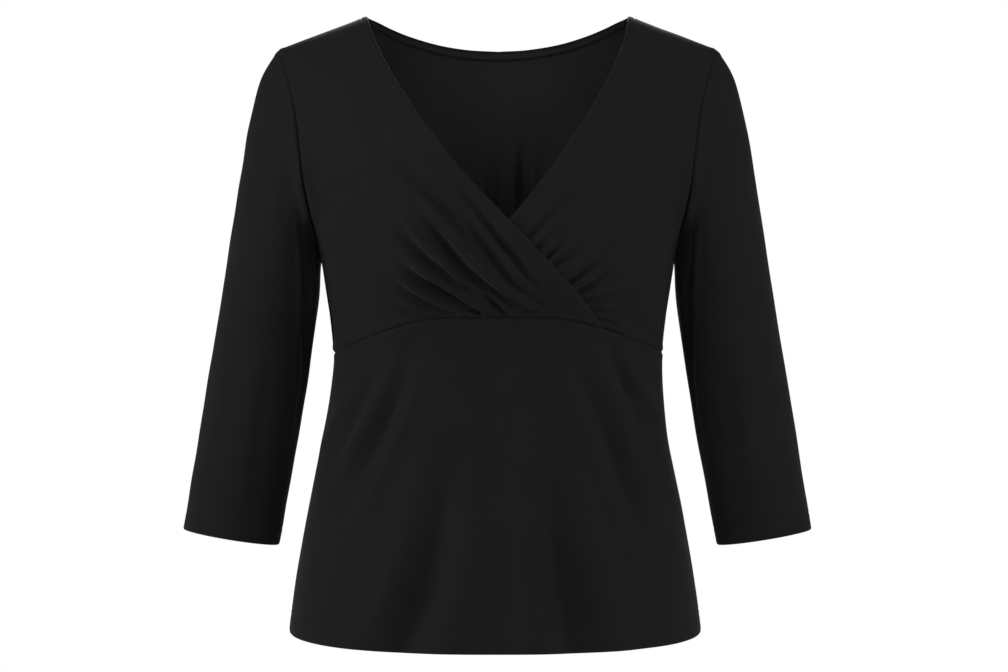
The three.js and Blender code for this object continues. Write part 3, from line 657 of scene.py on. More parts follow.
def lattice(rows, columns, around):
    """Corner indices of a grid's quads, with a last column past the first one on a tube."""
    across = columns if around else columns - 1
    r, c = np.meshgrid(np.arange(rows - 1), np.arange(across), indexing="ij")
    corners = (r, r, r + 1, r + 1), (c, c + 1, c + 1, c)
    return [np.stack(part, -1).reshape(-1, 4) for part in corners]


def rim_loops(rows, columns, around):
    """The borders of a grid as closed loops of row and column indices."""
    c, r = np.arange(columns), np.arange(rows)
    if around:
        c = np.arange(columns + 1)
        return [(0 * c, c), (rows - 1 + 0 * c, c[::-1])]
    row = np.concatenate([0 * c, r[1:], (rows - 1) + 0 * c[1:], r[-2:0:-1]])
    column = np.concatenate([c, (columns - 1) + 0 * r[1:], c[-2::-1], 0 * r[-2:0:-1]])
    return [(np.append(row, 0), np.append(column, 0))]


def away_from(points, around):
    """Directions that lead off a grid at its borders, and zero inside it."""
    away = np.zeros_like(points)
    away[0] += points[0] - points[1]
    away[-1] += points[-1] - points[-2]
    if not around:
        for border, beside in ((0, 1), (-1, -2)):
            away[:, border] += unit(points[:, border] - points[:, beside])
    return unit(away)


def wall_mesh(
    name, points, normals, cloth, outward, around=False, out=WALL / 2, into=WALL / 2, rounded=0
):
    """A closed wall of cloth on a grid of points, with rounded rims where rounded is more than 0."""
    shape = rows, columns = points.shape[:2]
    out, into, rounded = (np.broadcast_to(part, shape) for part in (out, into, rounded))
    outer = points + normals * out[..., None]
    inner = points - normals * into[..., None]
    if around:
        past = cloth[:, -1, 0] + (cloth[:, 1, 0] - cloth[:, 0, 0])
        cloth = np.concatenate([cloth, np.stack([past, cloth[:, 0, 1]], -1)[:, None]], 1)
    r, c = lattice(rows, columns, around)
    index = r * columns + c % columns
    sheet = rows * columns
    faces = [index, sheet + index[:, ::-1]]
    layout = [cloth[r, c], cloth[r, c][:, ::-1]]
    vertices = [outer.reshape(-1, 3), inner.reshape(-1, 3)]
    away = away_from(points, around)
    count = 2 * sheet
    for row, column in rim_loops(rows, columns, around):
        at = row, column % columns
        middle, half = (outer[at] + inner[at]) / 2, (outer[at] - inner[at]) / 2
        size = np.linalg.norm(half, axis=-1, keepdims=True) * rounded[at][:, None]
        rings = [at[0] * columns + at[1]]
        for turn in (math.pi / 3, 2 * math.pi / 3):
            ring = middle + half * math.cos(turn) + away[at] * size * math.sin(turn)
            vertices.append(ring[:-1])
            rings.append(np.append(count + np.arange(len(ring) - 1), count))
            count += len(ring) - 1
        rings.append(sheet + rings[0])
        for a, b in zip(rings, rings[1:]):
            faces.append(np.stack([a[:-1], b[:-1], b[1:], a[1:]], -1))
            first, second = cloth[row[:-1], column[:-1]], cloth[row[1:], column[1:]]
            layout.append(np.stack([first, first, second, second], 1))
    faces, layout = np.concatenate(faces), np.concatenate(layout)
    if outward < 0:
        faces, layout = faces[:, ::-1], layout[:, ::-1]
    made = make_object(name, np.concatenate(vertices), faces, layout)
    made.data.materials.append(None)
    made.data.materials.append(None)
    # The inner faces take the second material, which on the cloth is the paler reverse with painted
    # light
    reverse = np.zeros(len(faces), np.int32)
    reverse[len(index) : 2 * len(index)] = 1
    made.data.polygons.foreach_set("material_index", reverse)
    return made


def make_object(name, vertices, faces, layout=None):
    """A smooth object in metres from points in millimetres, with its cloth coordinates."""
    mesh = bpy.data.meshes.new(name)
    mesh.from_pydata((vertices * MM).tolist(), [], faces.tolist())
    mesh.polygons.foreach_set("use_smooth", np.ones(len(faces), bool))
    if layout is not None:
        corners = (layout * MM).astype(np.float32).ravel()
        mesh.uv_layers.new(name="cloth").uv.foreach_set("vector", corners)
    mesh.update()
    made = bpy.data.objects.new(name, mesh)
    bpy.context.scene.collection.objects.link(made)
    return made


def grain(side, face, levels, turns):
    """How far round the body from its middle each point of a panel lies, for the knit's wales."""
    dense = np.linspace(0, math.pi, SAMPLES["grain"])
    rows = body_point(side, face, dense[None], row_level_at(face, levels[:, None], dense[None]))
    along = lengths(rows, 1)
    placed = np.stack([np.interp(t, dense, a) for t, a in zip(turns, along)])
    return side * (along[:, [len(dense) // 2]] - placed)


class Panel:
    """A grid of cloth points with outward directions, cloth coordinates and border distances."""

    def __init__(self, points, outward, across, up=None, around=False):
        self.outward, self.around = outward, around
        self.cloth = np.stack([across, lengths(points, 0) if up is None else up], -1)
        self.lay(points)

    def lay(self, points):
        self.points = points
        self.normals = grid_normals(points, self.around, self.outward)

    def shape(self, shift, kept_row=None):
        """Moves the cloth outwards by shift. The height of the kept row stays."""
        shaped = self.points + self.normals * shift[..., None]
        if kept_row is not None:
            shaped[kept_row, :, 2] = self.points[kept_row, :, 2]
        self.lay(shaped)


def cloth_wall(name, panel, rims, draw, edge, depth):
    """The wall of a panel, its sewn borders drawn back and its free edge turned in."""
    panel.points = draw_back(panel.points, [border for border, _ in rims], draw)
    start, end = (depth + step for step in TURNED_FADE)
    turned = TURNED * (1 - ease(start, end, edge))
    return wall_mesh(
        name,
        panel.points,
        mitred(panel.normals, rims),
        panel.cloth,
        panel.outward,
        panel.around,
        into=WALL / 2 + turned,
        rounded=RIM * (edge < ON_EDGE),
    )


# Fronts
def front_panel(side, edge, sizes):
    """A front before its folds, and its distances from the neckline, the side and both seams."""
    levels = row_levels(FRONT, 1, sizes.rows_low, sizes.rows_high)
    edge_x = curve({"x": edge["x"], "level": level_of(edge["x"], edge["z"])}, "level", "x")
    column = levels[:, None]

    def at(turn):
        return body_point(side, FRONT, turn, row_level_at(FRONT, column, turn))

    def inside(turn):
        return side * (at(turn)[..., 0] - edge_x(row_level_at(FRONT, column, turn)))

    outer = armhole_turn(column)
    inner = solve(outer, math.pi + 0 * outer, inside)
    share = np.linspace(0, 1, SAMPLES["front"])[None] ** 1.15
    dense = at(mix(outer, inner, share))
    along = lengths(dense, 1)
    edge_way = np.gradient(dense[:, -1], axis=0)
    row_way = dense[:, -1] - dense[:, -4]
    sizes_of = np.linalg.norm(edge_way, axis=-1) * np.linalg.norm(row_way, axis=-1)
    slant = np.clip(np.linalg.norm(np.cross(edge_way, row_way), axis=-1) / sizes_of, 0.5, 1)
    # A line near the side that hardly follows the sudden corner under the arm
    knee_turn = np.sqrt(outer**2 + KNEE_TURN**2)
    knee_share = ((knee_turn - outer) / (inner - outer))[:, 0]
    knee = np.array([np.interp(k, share[0], a) for k, a in zip(knee_share, along)])
    steps = np.array(EDGE_STEPS) / slant[:, None]
    wanted = places(along[:, -1], SEAM_STEPS, steps, sizes.front_columns, knee, KNEE_COLUMNS)
    placed = np.stack([np.interp(w, a, share[0]) for w, a in zip(wanted, along)])
    turns = mix(outer, inner, placed)
    panel = Panel(at(turns), -side, grain(side, FRONT, levels, turns))
    up = lengths(panel.points, 0)
    panel.to_edge = (along[:, -1:] - wanted) * slant[:, None]
    panel.to_side = wanted
    panel.to_seam = up
    panel.to_shoulder = up[-1:] - up
    return panel


def over_front(sizes):
    panel = front_panel(OWN_RIGHT, OVER_EDGE, sizes)
    x, z = panel.points[..., 0], panel.points[..., 2]
    overlap = ease(-LIFT_RAMP, LIFT_RAMP, x - UNDER_EDGE_X(z))
    above = ease(0, LIFT_ABOVE_SEAM, z - SEAM_HEIGHT[FRONT](np.abs(x)))
    panel.shape(
        overlap * above * OVER_LIFT
        + cup_rise(x, z)
        + gathers(panel, OVER_FOLDS, 3, 0.22, ease(*OVER_EDGE_HOLD, panel.to_edge))
        + edge_relief(panel.to_edge, sizes.edge_inset)
        - EDGE_HUG * bump(panel.to_edge / EDGE_HUG_WIDTH) * overlap
        + seam_dip(panel.to_seam, 1.3)
        + seam_dip(panel.to_side)
        + seam_dip(panel.to_shoulder),
        kept_row=0,
    )
    return panel


def under_front(sizes):
    panel = front_panel(OWN_LEFT, UNDER_EDGE, sizes)
    x, z = panel.points[..., 0], panel.points[..., 2]
    hidden = OVER_EDGE_X(z) - x
    covered = ease(*HIDDEN_RAMP, hidden)
    free = (1 - covered) * ease(*UNDER_EDGE_HOLD, panel.to_edge)
    panel.shape(
        cup_rise(x, z)
        + gathers(panel, UNDER_FOLDS, 5, 0.22, free)
        - (UNDER_DROP * ease(*DROP_RAMP, hidden) + HIDDEN_DROP * covered)
        + edge_relief(panel.to_edge, sizes.edge_inset)
        + seam_dip(panel.to_seam, 1.1)
        + seam_dip(panel.to_side)
        + seam_dip(panel.to_shoulder),
        kept_row=0,
    )
    return panel


# Back
def back_turn(share, level):
    return math.pi / 2 * (1 - share) + armhole_turn(level) * share**3


def back_point(share, level):
    side = np.where(share < 0, -1, 1)
    size = np.abs(share)
    point = body_point(1, BACK, back_turn(size, level), level)
    point[..., 0] *= side
    return point


def back_panel(sizes):
    """The back above the seam under the bust, and its distances from its borders."""
    neck_share = float(
        solve(0, 1, lambda s: NECK_HALF - back_point(s, SHOULDER_TIP + 0 * s)[..., 0])
    )
    close = 1 - np.array(SEAM_STEPS)[::-1] / SHOULDER_RUN
    neck = np.linspace(0, neck_share, sizes.half_neck + 1)[:-1]
    shoulder = np.linspace(neck_share, close[0], sizes.half_shoulder + 1)[:-1]
    half = np.concatenate([neck, shoulder, close])
    shares = np.concatenate([-half[:0:-1], half])
    size = np.abs(shares)

    def below_neck(level):
        point = body_point(1, BACK, back_turn(size, level), level)
        return BACK_NECK_Z(point[..., 0]) - point[..., 2]

    tops = solve(UNDERARM + 0 * size, SHOULDER_TIP + 0 * size, below_neck)
    tops = np.where(size >= neck_share - 1e-6, SHOULDER_TIP, tops)
    below = low_levels(sizes.rows_low)[:, None]
    turns = math.pi / 2 * (1 - size)[None] + 0 * below
    low = back_point(shares[None], row_level_at(BACK, below, turns))
    rising = 1 - (1 - np.linspace(0, 1, SAMPLES["back"])[:, None]) ** 2
    fine = mix(UNDERARM, tops[None], rising)
    along = lengths(back_point(shares[None], fine), 0)
    wanted = places(along[-1], (0,), EDGE_STEPS, sizes.rows_high)
    levels = np.stack([np.interp(w, a, f) for w, a, f in zip(wanted, along.T, fine.T)], 1)
    points = np.concatenate([low, back_point(shares[None], levels)])
    # The wales run straight up from the seam under the bust
    across = lengths(points, 1)
    middle = len(half) - 1
    panel = Panel(points, -1, across - across[:, [middle]])
    up = lengths(points, 0)
    panel.to_seam = up
    panel.to_top = up[-1:] - up
    panel.to_side = np.minimum(across, across[:, -1:] - across)
    panel.size, panel.neck_share = size, neck_share
    at_neck = (1 - ease(neck_share - 0.004, neck_share + 0.004, size))[None]
    panel.shape(
        gathers(panel, BACK_FOLDS, 7, 0.25)
        + at_neck * edge_relief(panel.to_top, sizes.edge_inset)
        + (1 - at_neck) * seam_dip(panel.to_top)
        + seam_dip(panel.to_seam, 1.1)
        + seam_dip(panel.to_side),
        kept_row=0,
    )
    return panel


def back_and_band(sizes):
    panel = back_panel(sizes)
    panel.points = draw_back(panel.points, ("bottom", "top", "first", "last"), SEAM_DRAW)
    normals = mitred(panel.normals, BACK_RIMS)
    sewn = panel.size >= panel.neck_share - NECK_MARGIN
    normals[-1][sewn] = mitred(panel.normals, [("top", 1)])[-1][sewn]
    rounded = RIM * ((panel.to_top < ON_EDGE) & ~sewn)
    back = wall_mesh("back_cloth", panel.points, normals, panel.cloth, -1, rounded=rounded)
    # The band lies inside the neck edge, a hair below it
    columns = np.flatnonzero(~sewn)
    keep = np.s_[-BAND_ROWS:-1, columns[0] : columns[-1] + 1]
    inward, distance = -panel.normals[keep], panel.to_top[keep]
    points = panel.points[keep] + inward * (WALL / 2 + BAND_CLEAR + BAND_WALL / 2)
    swell = relief(distance, (0.25, 3, 2), (-0.3, sizes.edge_inset, 0.75))
    points = points + inward * swell[..., None]
    half, cloth = BAND_WALL / 2, panel.cloth[keep]
    band = wall_mesh("neck_band_cloth", points, -inward, cloth, -1, out=half, into=half, rounded=RIM)
    return panel, back, band, (points, inward, distance)


# Lower body
def lower_panel(face, folds, sizes):
    turns = math.pi * (1 - np.linspace(0, 1, SAMPLES["lower"]))
    seam = seam_level(face, turns)
    line = body_point(1, face, turns, seam)
    along = lengths(line[None], 1)[0]
    wanted = places([along[-1]], SEAM_STEPS, SEAM_STEPS, sizes.lower_columns)[0]
    turns = np.interp(wanted, along, turns)
    seam = seam_level(face, turns)
    hem = HEM_SIDE - HEM_DIP[face] * np.sin(turns)
    height = places(seam - hem, HEM_STEPS, SEAM_STEPS, sizes.lower_rows).T
    levels = hem[None] + height
    points = body_point(1, face, turns[None], levels)
    across = lengths(points, 1)
    middle = len(turns) // 2
    panel = Panel(points, -face, across - across[:, [middle]])
    panel.to_hem = height
    panel.to_seam = (seam - hem)[None] - height
    panel.to_side = np.minimum(across, across[:, -1:] - across)
    panel.shape(
        gathers(panel, folds, 11 + face, 0.3)
        + hem_relief(panel.to_hem, sizes.hem_depth, sizes.twin_gap)
        + seam_dip(panel.to_seam, 0.8)
        + seam_dip(panel.to_side),
        kept_row=-1,
    )
    return panel


# Sleeves
def armhole_point(side, turn):
    level = mix(UNDERARM, SHOULDER_TIP, np.cos(turn / 2) ** 2)
    front = body_point(side, FRONT, armhole_turn(level), level)
    back = body_point(side, BACK, armhole_turn(level), level)
    return np.where((turn <= math.pi)[..., None], front, back)


def armhole_normal(side, turn):
    """The outward direction of the body at the armhole, from a small step each way."""
    step_turn, step_level = 0.1, 2
    height = mix(UNDERARM, SHOULDER_TIP, np.cos(turn / 2) ** 2)
    level = np.minimum(height, SHOULDER_TIP - step_level)
    here = np.maximum(armhole_turn(height), step_turn)
    found = {}
    for face in (FRONT, BACK):
        across = body_point(side, face, here + step_turn, level)
        across = across - body_point(side, face, here - step_turn, level)
        up = body_point(side, face, here, level + step_level)
        up = up - body_point(side, face, here, level - step_level)
        found[face] = np.cross(across, up) * side * face
    return unit(np.where((turn <= math.pi)[..., None], found[FRONT], found[BACK]))


def tube_point(side, station, turn):
    """A point of the plain tube between a sleeve's upper line and its underarm line."""
    station, turn = np.broadcast_arrays(station, turn)
    at = {name: read(station) for name, read in SLEEVE_AT.items()}
    share = (1 + np.cos(turn)) / 2
    y = RIDGE_BACK * share * ease(4, 0, station) - at["half_depth"] * np.sin(turn)
    x = side * mix(at["inner_x"], at["outer_x"], share)
    return np.stack([x, y, mix(at["inner_z"], at["outer_z"], share)], -1)


def sleeve_form(side, station, turn):
    lap = SLEEVE_LAP * ease(*LAP_TURNS, np.minimum(turn, 2 * math.pi - turn))
    seam = armhole_point(side, turn) + armhole_normal(side, turn) * lap[..., None]
    kept = (1 - ease(0, ARMHOLE_FADE, station)) ** 1.5
    tube, start = tube_point(side, station, turn), tube_point(side, 0 * station, turn)
    return tube + (seam - start) * kept[..., None]


def sleeve_fold_shift(station, turn):
    total = 0 * station * turn
    half = SLEEVE_AT["half_depth"](station)
    for first, last, start, end, width, depth in zip(*SLEEVE_FOLDS.values()):
        share = (station - start) / (end - start)
        line = np.radians(mix(first, last, np.clip(share, 0, 1)))
        strength = np.where((share > 0) & (share < 1), np.sin(math.pi * share) ** 2, 0)
        away = (turn - line) * half / width
        away = np.abs(np.where(away < 0, SLEEVE_LEAN * away, away))
        lip = SLEEVE_LIP * bump((away - SLEEVE_LIP_AWAY) / SLEEVE_LIP_WIDTH)
        total -= depth * strength * (np.exp(-(away**TROUGH_POWER)) - lip)
    return total


def sleeve_panel(side, sizes):
    round_share = np.linspace(0, 1, sizes.sleeve_round + 1)[:-1][None]
    turn = 2 * math.pi * round_share
    dense = np.linspace(0, LAST_STATION, SAMPLES["sleeve"])
    line = sleeve_form(side, dense[:, None], np.array([[SLEEVE_LINE]]))
    along = lengths(line, 0)[:, 0]
    wanted = places([along[-1]], SEAM_STEPS, HEM_STEPS, sizes.sleeve_rows)[0]
    station = np.interp(wanted, along, dense)[:, None]
    points = sleeve_form(side, station, turn)
    up = lengths(points, 0)
    girth = SLEEVE_GIRTH * round_share + 0 * up
    panel = Panel(points, side, girth * side, -up, around=True)
    panel.to_seam, panel.to_hem, panel.front = up, up[-1:] - up, turn < math.pi
    panel.shape(
        sleeve_fold_shift(station, turn)
        + ripple(points[..., 1] + side * 40, points[..., 2], 17 + side, 0.28)
        + hem_relief(panel.to_hem, sizes.cuff_depth, sizes.twin_gap)
        + seam_dip(panel.to_seam, 0.7)
    )
    return panel


# Stitches
def level_line(values, points, normals, wanted):
    """The line on a grid where its distance from a border, which grows along rows, has a value."""
    line, ways = [], []
    for v, p, n in zip(values, points, normals):
        order = np.argsort(v)
        line.append([np.interp(wanted, v[order], p[order, k]) for k in range(3)])
        ways.append([np.interp(wanted, v[order], n[order, k]) for k in range(3)])
    return np.array(line), np.array(ways)


def stitches(name, line, ways, sizes, start=0.0):
    """A row of stitches along a line: each is a short thread that dives in at both ends."""
    steps = lengths(line[None], 1)[0]
    pitch = sizes.stitch_length + sizes.stitch_gap
    first = np.arange(start, steps[-1] - sizes.stitch_length, pitch)
    rings, sides = THREAD_RINGS, THREAD_SIDES
    share = np.linspace(0, 1, rings)
    run = first[:, None] + share[None] * sizes.stitch_length
    centre = np.stack([np.interp(run, steps, line[:, k]) for k in range(3)], -1)
    way = unit(np.stack([np.interp(run, steps, ways[:, k]) for k in range(3)], -1))
    beside = unit(np.cross(unit(np.gradient(centre, axis=1)), way))
    arch = np.sin(math.pi * share)[None, :, None]
    thick = sizes.thread_size / 2 * mix(THREAD_ENDS, 1, arch**0.5)
    centre = centre + way * (sizes.thread_size * (THREAD_RISE * arch - THREAD_SINK))
    angle = (np.arange(sides) / sides * 2 * math.pi)[None, None, :, None]
    ring = centre[:, :, None] + thick[..., None] * (
        beside[:, :, None] * np.cos(angle) + way[:, :, None] * np.sin(angle) * THREAD_FLAT
    )
    count = len(first)
    base = (np.arange(count) * rings * sides)[:, None, None]
    r, s = np.meshgrid(np.arange(rings - 1), np.arange(sides), indexing="ij")
    after = (s + 1) % sides
    corners = r * sides + s, (r + 1) * sides + s, (r + 1) * sides + after, r * sides + after
    faces = (base + np.stack(corners, -1).reshape(1, -1, 4)).reshape(-1, 4)
    ends = []
    for ring_at, way_round in ((0, 1), (rings - 1, -1)):
        corner = ring_at * sides + np.arange(sides)[::way_round]
        for k in (0, 2):
            ends.append(base[:, 0] + corner[[0, k + 1, k + 2, (k + 3) % sides]][None])
    faces = np.concatenate([faces, *ends])
    return make_object(name, ring.reshape(-1, 3), faces)


# Finishes
def new_group(name, inputs, outputs):
    group = bpy.data.node_groups.new(name, "ShaderNodeTree")
    for label, kind, value in inputs:
        socket = group.interface.new_socket(name=label, in_out="INPUT", socket_type=kind)
        if value is not None:
            socket.default_value = value
    for label, kind in outputs:
        group.interface.new_socket(name=label, in_out="OUTPUT", socket_type=kind)
    return group, group.nodes.new("NodeGroupInput"), group.nodes.new("NodeGroupOutput")


def feed(tree, node, inputs):
    """Gives a node's inputs their values, or links them to other nodes' outputs."""
    for name, value in inputs.items():
        if isinstance(value, bpy.types.NodeSocket):
            tree.links.new(value, node.inputs[name])
        else:
            node.inputs[name].default_value = value


def add_node(tree, kind, inputs, output=0, **settings):
    node = tree.nodes.new(kind)
    for name, value in settings.items():
        setattr(node, name, value)
    feed(tree, node, inputs)
    return node.outputs[output]


def math_node(tree, operation, *values):
    return add_node(tree, "ShaderNodeMath", dict(enumerate(values)), operation=operation)


def jersey_knit():
    """Wales of small V-shaped loops, from the cloth coordinates in metres. Shade is painted shade: it is
    darker in the hollows between the loops.
    """
    group, given, out = new_group(
        "jersey_knit",
        [
            ("Cloth", "NodeSocketVector", None),
            ("Wale", "NodeSocketFloat", 0.0008),
            ("Course", "NodeSocketFloat", 0.0006),
        ],
        [("Height", "NodeSocketFloat"), ("Shade", "NodeSocketFloat")],
    )
    split = group.nodes.new("ShaderNodeSeparateXYZ")
    feed(group, split, {0: given.outputs["Cloth"]})
    across = math_node(group, "DIVIDE", split.outputs["X"], given.outputs["Wale"])
    across = math_node(group, "FRACT", across)
    up = math_node(group, "DIVIDE", split.outputs["Y"], given.outputs["Course"])
    off = math_node(group, "ABSOLUTE", math_node(group, "SUBTRACT", across, 0.5))
    leg = math_node(group, "SINE", math_node(group, "MULTIPLY", across, math.pi))
    slanted = math_node(group, "MULTIPLY_ADD", off, 0.9, up)
    loop = math_node(group, "SINE", math_node(group, "MULTIPLY", slanted, 2 * math.pi))
    loop = math_node(group, "MULTIPLY_ADD", loop, 0.25, 0.75)
    height = math_node(group, "MULTIPLY", math_node(group, "POWER", leg, 0.6), loop)
    # Painted shade: the colour is darker where the loops are low
    shade = math_node(group, "MULTIPLY_ADD", height, 0.35, 0.65)
    feed(group, out, {"Height": height, "Shade": shade})
    return group


def soft_mottle():
    """Slow and fine unevenness of a dyed surface."""
    group, given, out = new_group(
        "soft_mottle",
        [
            ("Place", "NodeSocketVector", None),
            ("Patches", "NodeSocketFloat", 14.0),
            ("Specks", "NodeSocketFloat", 900.0),
        ],
        [("Value", "NodeSocketFloat")],
    )
    noises = []
    for label, detail in (("Patches", 3.0), ("Specks", 1.0)):
        inputs = {"Vector": given.outputs["Place"], "Scale": given.outputs[label], "Detail": detail}
        noises.append(add_node(group, "ShaderNodeTexNoise", inputs))
    specks = math_node(group, "MULTIPLY", noises[1], 0.35)
    feed(group, out, {"Value": math_node(group, "MULTIPLY_ADD", noises[0], 0.65, specks)})
    return group


def group_node(tree, name, maker, **values):
    node = tree.nodes.new("ShaderNodeGroup")
    node.node_tree = bpy.data.node_groups.get(name) or maker()
    feed(tree, node, values)
    return node


def ramp(tree, value, low, high):
    """A colour that changes from low to high with a value."""
    node = tree.nodes.new("ShaderNodeValToRGB")
    for element, at, colour in zip(node.color_ramp.elements, (0.25, 0.75), (low, high)):
        element.position = at
        element.color = (*colour, 1)
    feed(tree, node, {0: value})
    return node.outputs[0]


def tint(colour, by):
    return tuple(min(1.0, part * by) for part in colour)


def new_material(name):
    material = bpy.data.materials.new(name)
    material.use_nodes = True
    tree = material.node_tree
    place = tree.nodes.new("ShaderNodeTexCoord").outputs["Object"]
    return material, tree, tree.nodes["Principled BSDF"], place


def bumps(tree, height, strength, distance):
    inputs = {"Height": height, "Strength": strength, "Distance": distance}
    return add_node(tree, "ShaderNodeBump", inputs)


def jersey(name, finish, paler):
    """Fine black jersey: matt, with a faint sheen and the relief of its wales. With paler above 1 it is
    a paler copy for the reverse side, and its extra brightness is painted light.
    """
    found = bpy.data.materials.get(name)
    if found:
        return found
    material, tree, shader, place = new_material(name)
    cloth = add_node(tree, "ShaderNodeUVMap", {}, uv_map="cloth")
    loops = {"Cloth": cloth, "Wale": finish.wale, "Course": finish.course}
    knit = group_node(tree, "jersey_knit", jersey_knit, **loops)
    mottle = group_node(tree, "soft_mottle", soft_mottle, Place=place, Patches=18.0, Specks=800.0)
    # The colour mixes the dye's random mottle with the knit's painted shade in its hollows
    value = math_node(tree, "MULTIPLY", mottle.outputs[0], knit.outputs["Shade"])
    dark, pale = tint(finish.jersey, 0.82 * paler), tint(finish.jersey, 1.3 * paler)
    rough = math_node(tree, "MULTIPLY_ADD", mottle.outputs[0], 0.16, finish.roughness - 0.08)
    feed(tree, shader, {
        "Base Color": ramp(tree, value, dark, pale),
        "Roughness": rough,
        "Normal": bumps(tree, knit.outputs["Height"], finish.relief, 0.0002),
        "Specular IOR Level": finish.shine,
        "Sheen Weight": finish.sheen,
        "Sheen Roughness": 0.45,
    })
    return material


def thread(name, finish):
    """Black sewing thread, a little brighter than the cloth, with the twist of its plies. Its colour is
    darker in the grooves between the plies and paler on them, which is painted shade and highlight.
    """
    material, tree, shader, place = new_material(name)
    wave = {"Vector": place, "Scale": 1600, "Distortion": 0.5}
    plies = add_node(tree, "ShaderNodeTexWave", wave, 1, bands_direction="DIAGONAL")
    feed(tree, shader, {
        # Painted shade and highlight: darker in the grooves of the twist, paler on its ridges
        "Base Color": ramp(tree, plies, tint(finish.thread, 0.7), tint(finish.thread, 1.25)),
        "Normal": bumps(tree, plies, 0.4, 0.0001),
        "Roughness": 0.5,
        "Specular IOR Level": 0.3,
    })
    return material


def pale_floor(name, colour):
    material, tree, shader, place = new_material(name)
    mottle = group_node(tree, "soft_mottle", soft_mottle, Place=place, Patches=1.5, Specks=60.0)
    shade = ramp(tree, mottle.outputs[0], tint(colour, 0.985), colour)
    feed(tree, shader, {"Base Color": shade, "Roughness": 0.9})
    return material


# Settings
def length_prop(name, description, default):
    return bpy.props.FloatProperty(
        name=name,
        description=description,
        default=default * MM,
        min=0,
        unit="LENGTH",
        subtype="DISTANCE",
        precision=5,
    )


def count_prop(name, description, default):
    return bpy.props.IntProperty(name=name, description=description, default=default, min=4)


def number_prop(name, description, default, high=1.0):
    return bpy.props.FloatProperty(
        name=name, description=description, default=default, min=0, max=high
    )


def colour_prop(name, description, default):
    return bpy.props.FloatVectorProperty(
        name=name, description=description, default=default, size=3, min=0, max=1, subtype="COLOR"
    )


class WrapTopSewing(bpy.types.PropertyGroup):
    """Sizes of the edges, hems and stitches."""

    edge_depth: length_prop("Turned edge", "Width of the neckline's turned edge", 7)
    edge_inset: length_prop("Edge stitching", "Distance of the stitches from the neckline", 5.6)
    hem_depth: length_prop("Hem stitching", "Height of the upper hem stitches", 18.5)
    cuff_depth: length_prop("Cuff stitching", "Height of the upper cuff stitches", 15)
    twin_gap: length_prop("Twin rows", "Distance between the two rows of hem stitches", 4)
    stitch_length: length_prop("Stitch", "Length of a stitch", 2.7)
    stitch_gap: length_prop("Stitch gap", "Gap between stitches", 0.7)
    thread_size: length_prop("Thread", "Thickness of the sewing thread", 0.42)


class WrapTopGrid(bpy.types.PropertyGroup):
    """How finely the cloth is divided."""

    front_columns: count_prop("Front columns", "Steps across a front", 150)
    rows_low: count_prop("Lower rows", "Steps from the seam under the bust to the underarm", 70)
    rows_high: count_prop("Upper rows", "Steps from the underarm to the shoulder", 104)
    half_neck: count_prop("Back neck", "Steps across half of the back neck", 58)
    half_shoulder: count_prop("Back shoulder", "Steps across one shoulder of the back", 36)
    lower_columns: count_prop("Lower columns", "Steps across half of the lower body", 170)
    lower_rows: count_prop("Lower rows", "Steps up the lower body", 96)
    sleeve_round: count_prop("Sleeve girth", "Steps round a sleeve", 150)
    sleeve_rows: count_prop("Sleeve rows", "Steps along a sleeve", 150)


class WrapTopFinish(bpy.types.PropertyGroup):
    """Colours and surface of the jersey and the thread."""

    jersey: colour_prop("Jersey", "Colour of the jersey", (0.0080, 0.0080, 0.0083))
    # The reverse side's paleness is painted light: it brightens the inside of the top as if more light
    # reached it
    reverse: number_prop("Reverse", "How much paler the jersey's reverse side is", 3.1, 5)
    thread: colour_prop("Thread", "Colour of the sewing thread", (0.010, 0.010, 0.0105))
    roughness: number_prop("Roughness", "Roughness of the jersey", 0.78)
    sheen: number_prop("Sheen", "Strength of the jersey's soft sheen", 0.04)
    shine: number_prop("Shine", "Strength of the jersey's reflections", 0.12)
    relief: number_prop("Relief", "Strength of the knit's relief", 0.25)
    wale: length_prop("Wale", "Width of one wale of the knit", 0.8)
    course: length_prop("Course", "Height of one course of the knit", 0.62)


class WrapTopStudio(bpy.types.PropertyGroup):
    """The floor, the lights and the camera."""

    floor_drop: length_prop("Floor", "Depth of the floor below the shoulders", 1400)
    floor_radius: length_prop("Floor radius", "Radius of the floor", 5000)
    floor_colour: colour_prop("Floor colour", "Colour of the floor", (0.86, 0.86, 0.86))
    backdrop: number_prop("Backdrop", "Brightness of the pale surroundings", 1.0, 10)
    fill: number_prop("Fill", "Brightness of the light from all round", 0.09, 10)
    key_power: number_prop("Key light", "Power of the strongest light in watts", 34.5, 2000)
    front_power: number_prop("Front light", "Power of the light beside the camera in watts", 11, 2000)
    side_power: number_prop("Side lights", "Power of each light beside the sleeves in watts", 15, 2000)
    back_power: number_prop("Back light", "Power of the light behind the top in watts", 60, 2000)
    camera_distance: length_prop("Camera distance", "Distance of the camera from the origin", 2800)
    camera_side: length_prop("Camera side", "How far the camera stands to the side", 6.1)
    camera_drop: length_prop("Camera height", "How far the camera is below the shoulders", 304.6)
    camera_lens: number_prop("Lens", "Focal length of the camera in millimetres", 104.7, 500)


class Sizes:
    """The settings of the cloth: lengths in millimetres, and counts of grid steps."""

    def __init__(self, scene):
        for name in WrapTopSewing.__annotations__:
            setattr(self, name, getattr(scene.wrap_top_sewing, name) / MM)
        for name in WrapTopGrid.__annotations__:
            setattr(self, name, getattr(scene.wrap_top_grid, name))


def dress(piece, node, finish):
    """Gives a piece of cloth its finish and its place in the frame."""
    piece.data.materials[0] = jersey("black_jersey", finish, 1)
    # The inner faces get a paler copy of the jersey, which paints light on the inside of the top
    piece.data.materials[1] = jersey("black_jersey_reverse", finish, finish.reverse)
    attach(piece, "root")
    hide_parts(node)


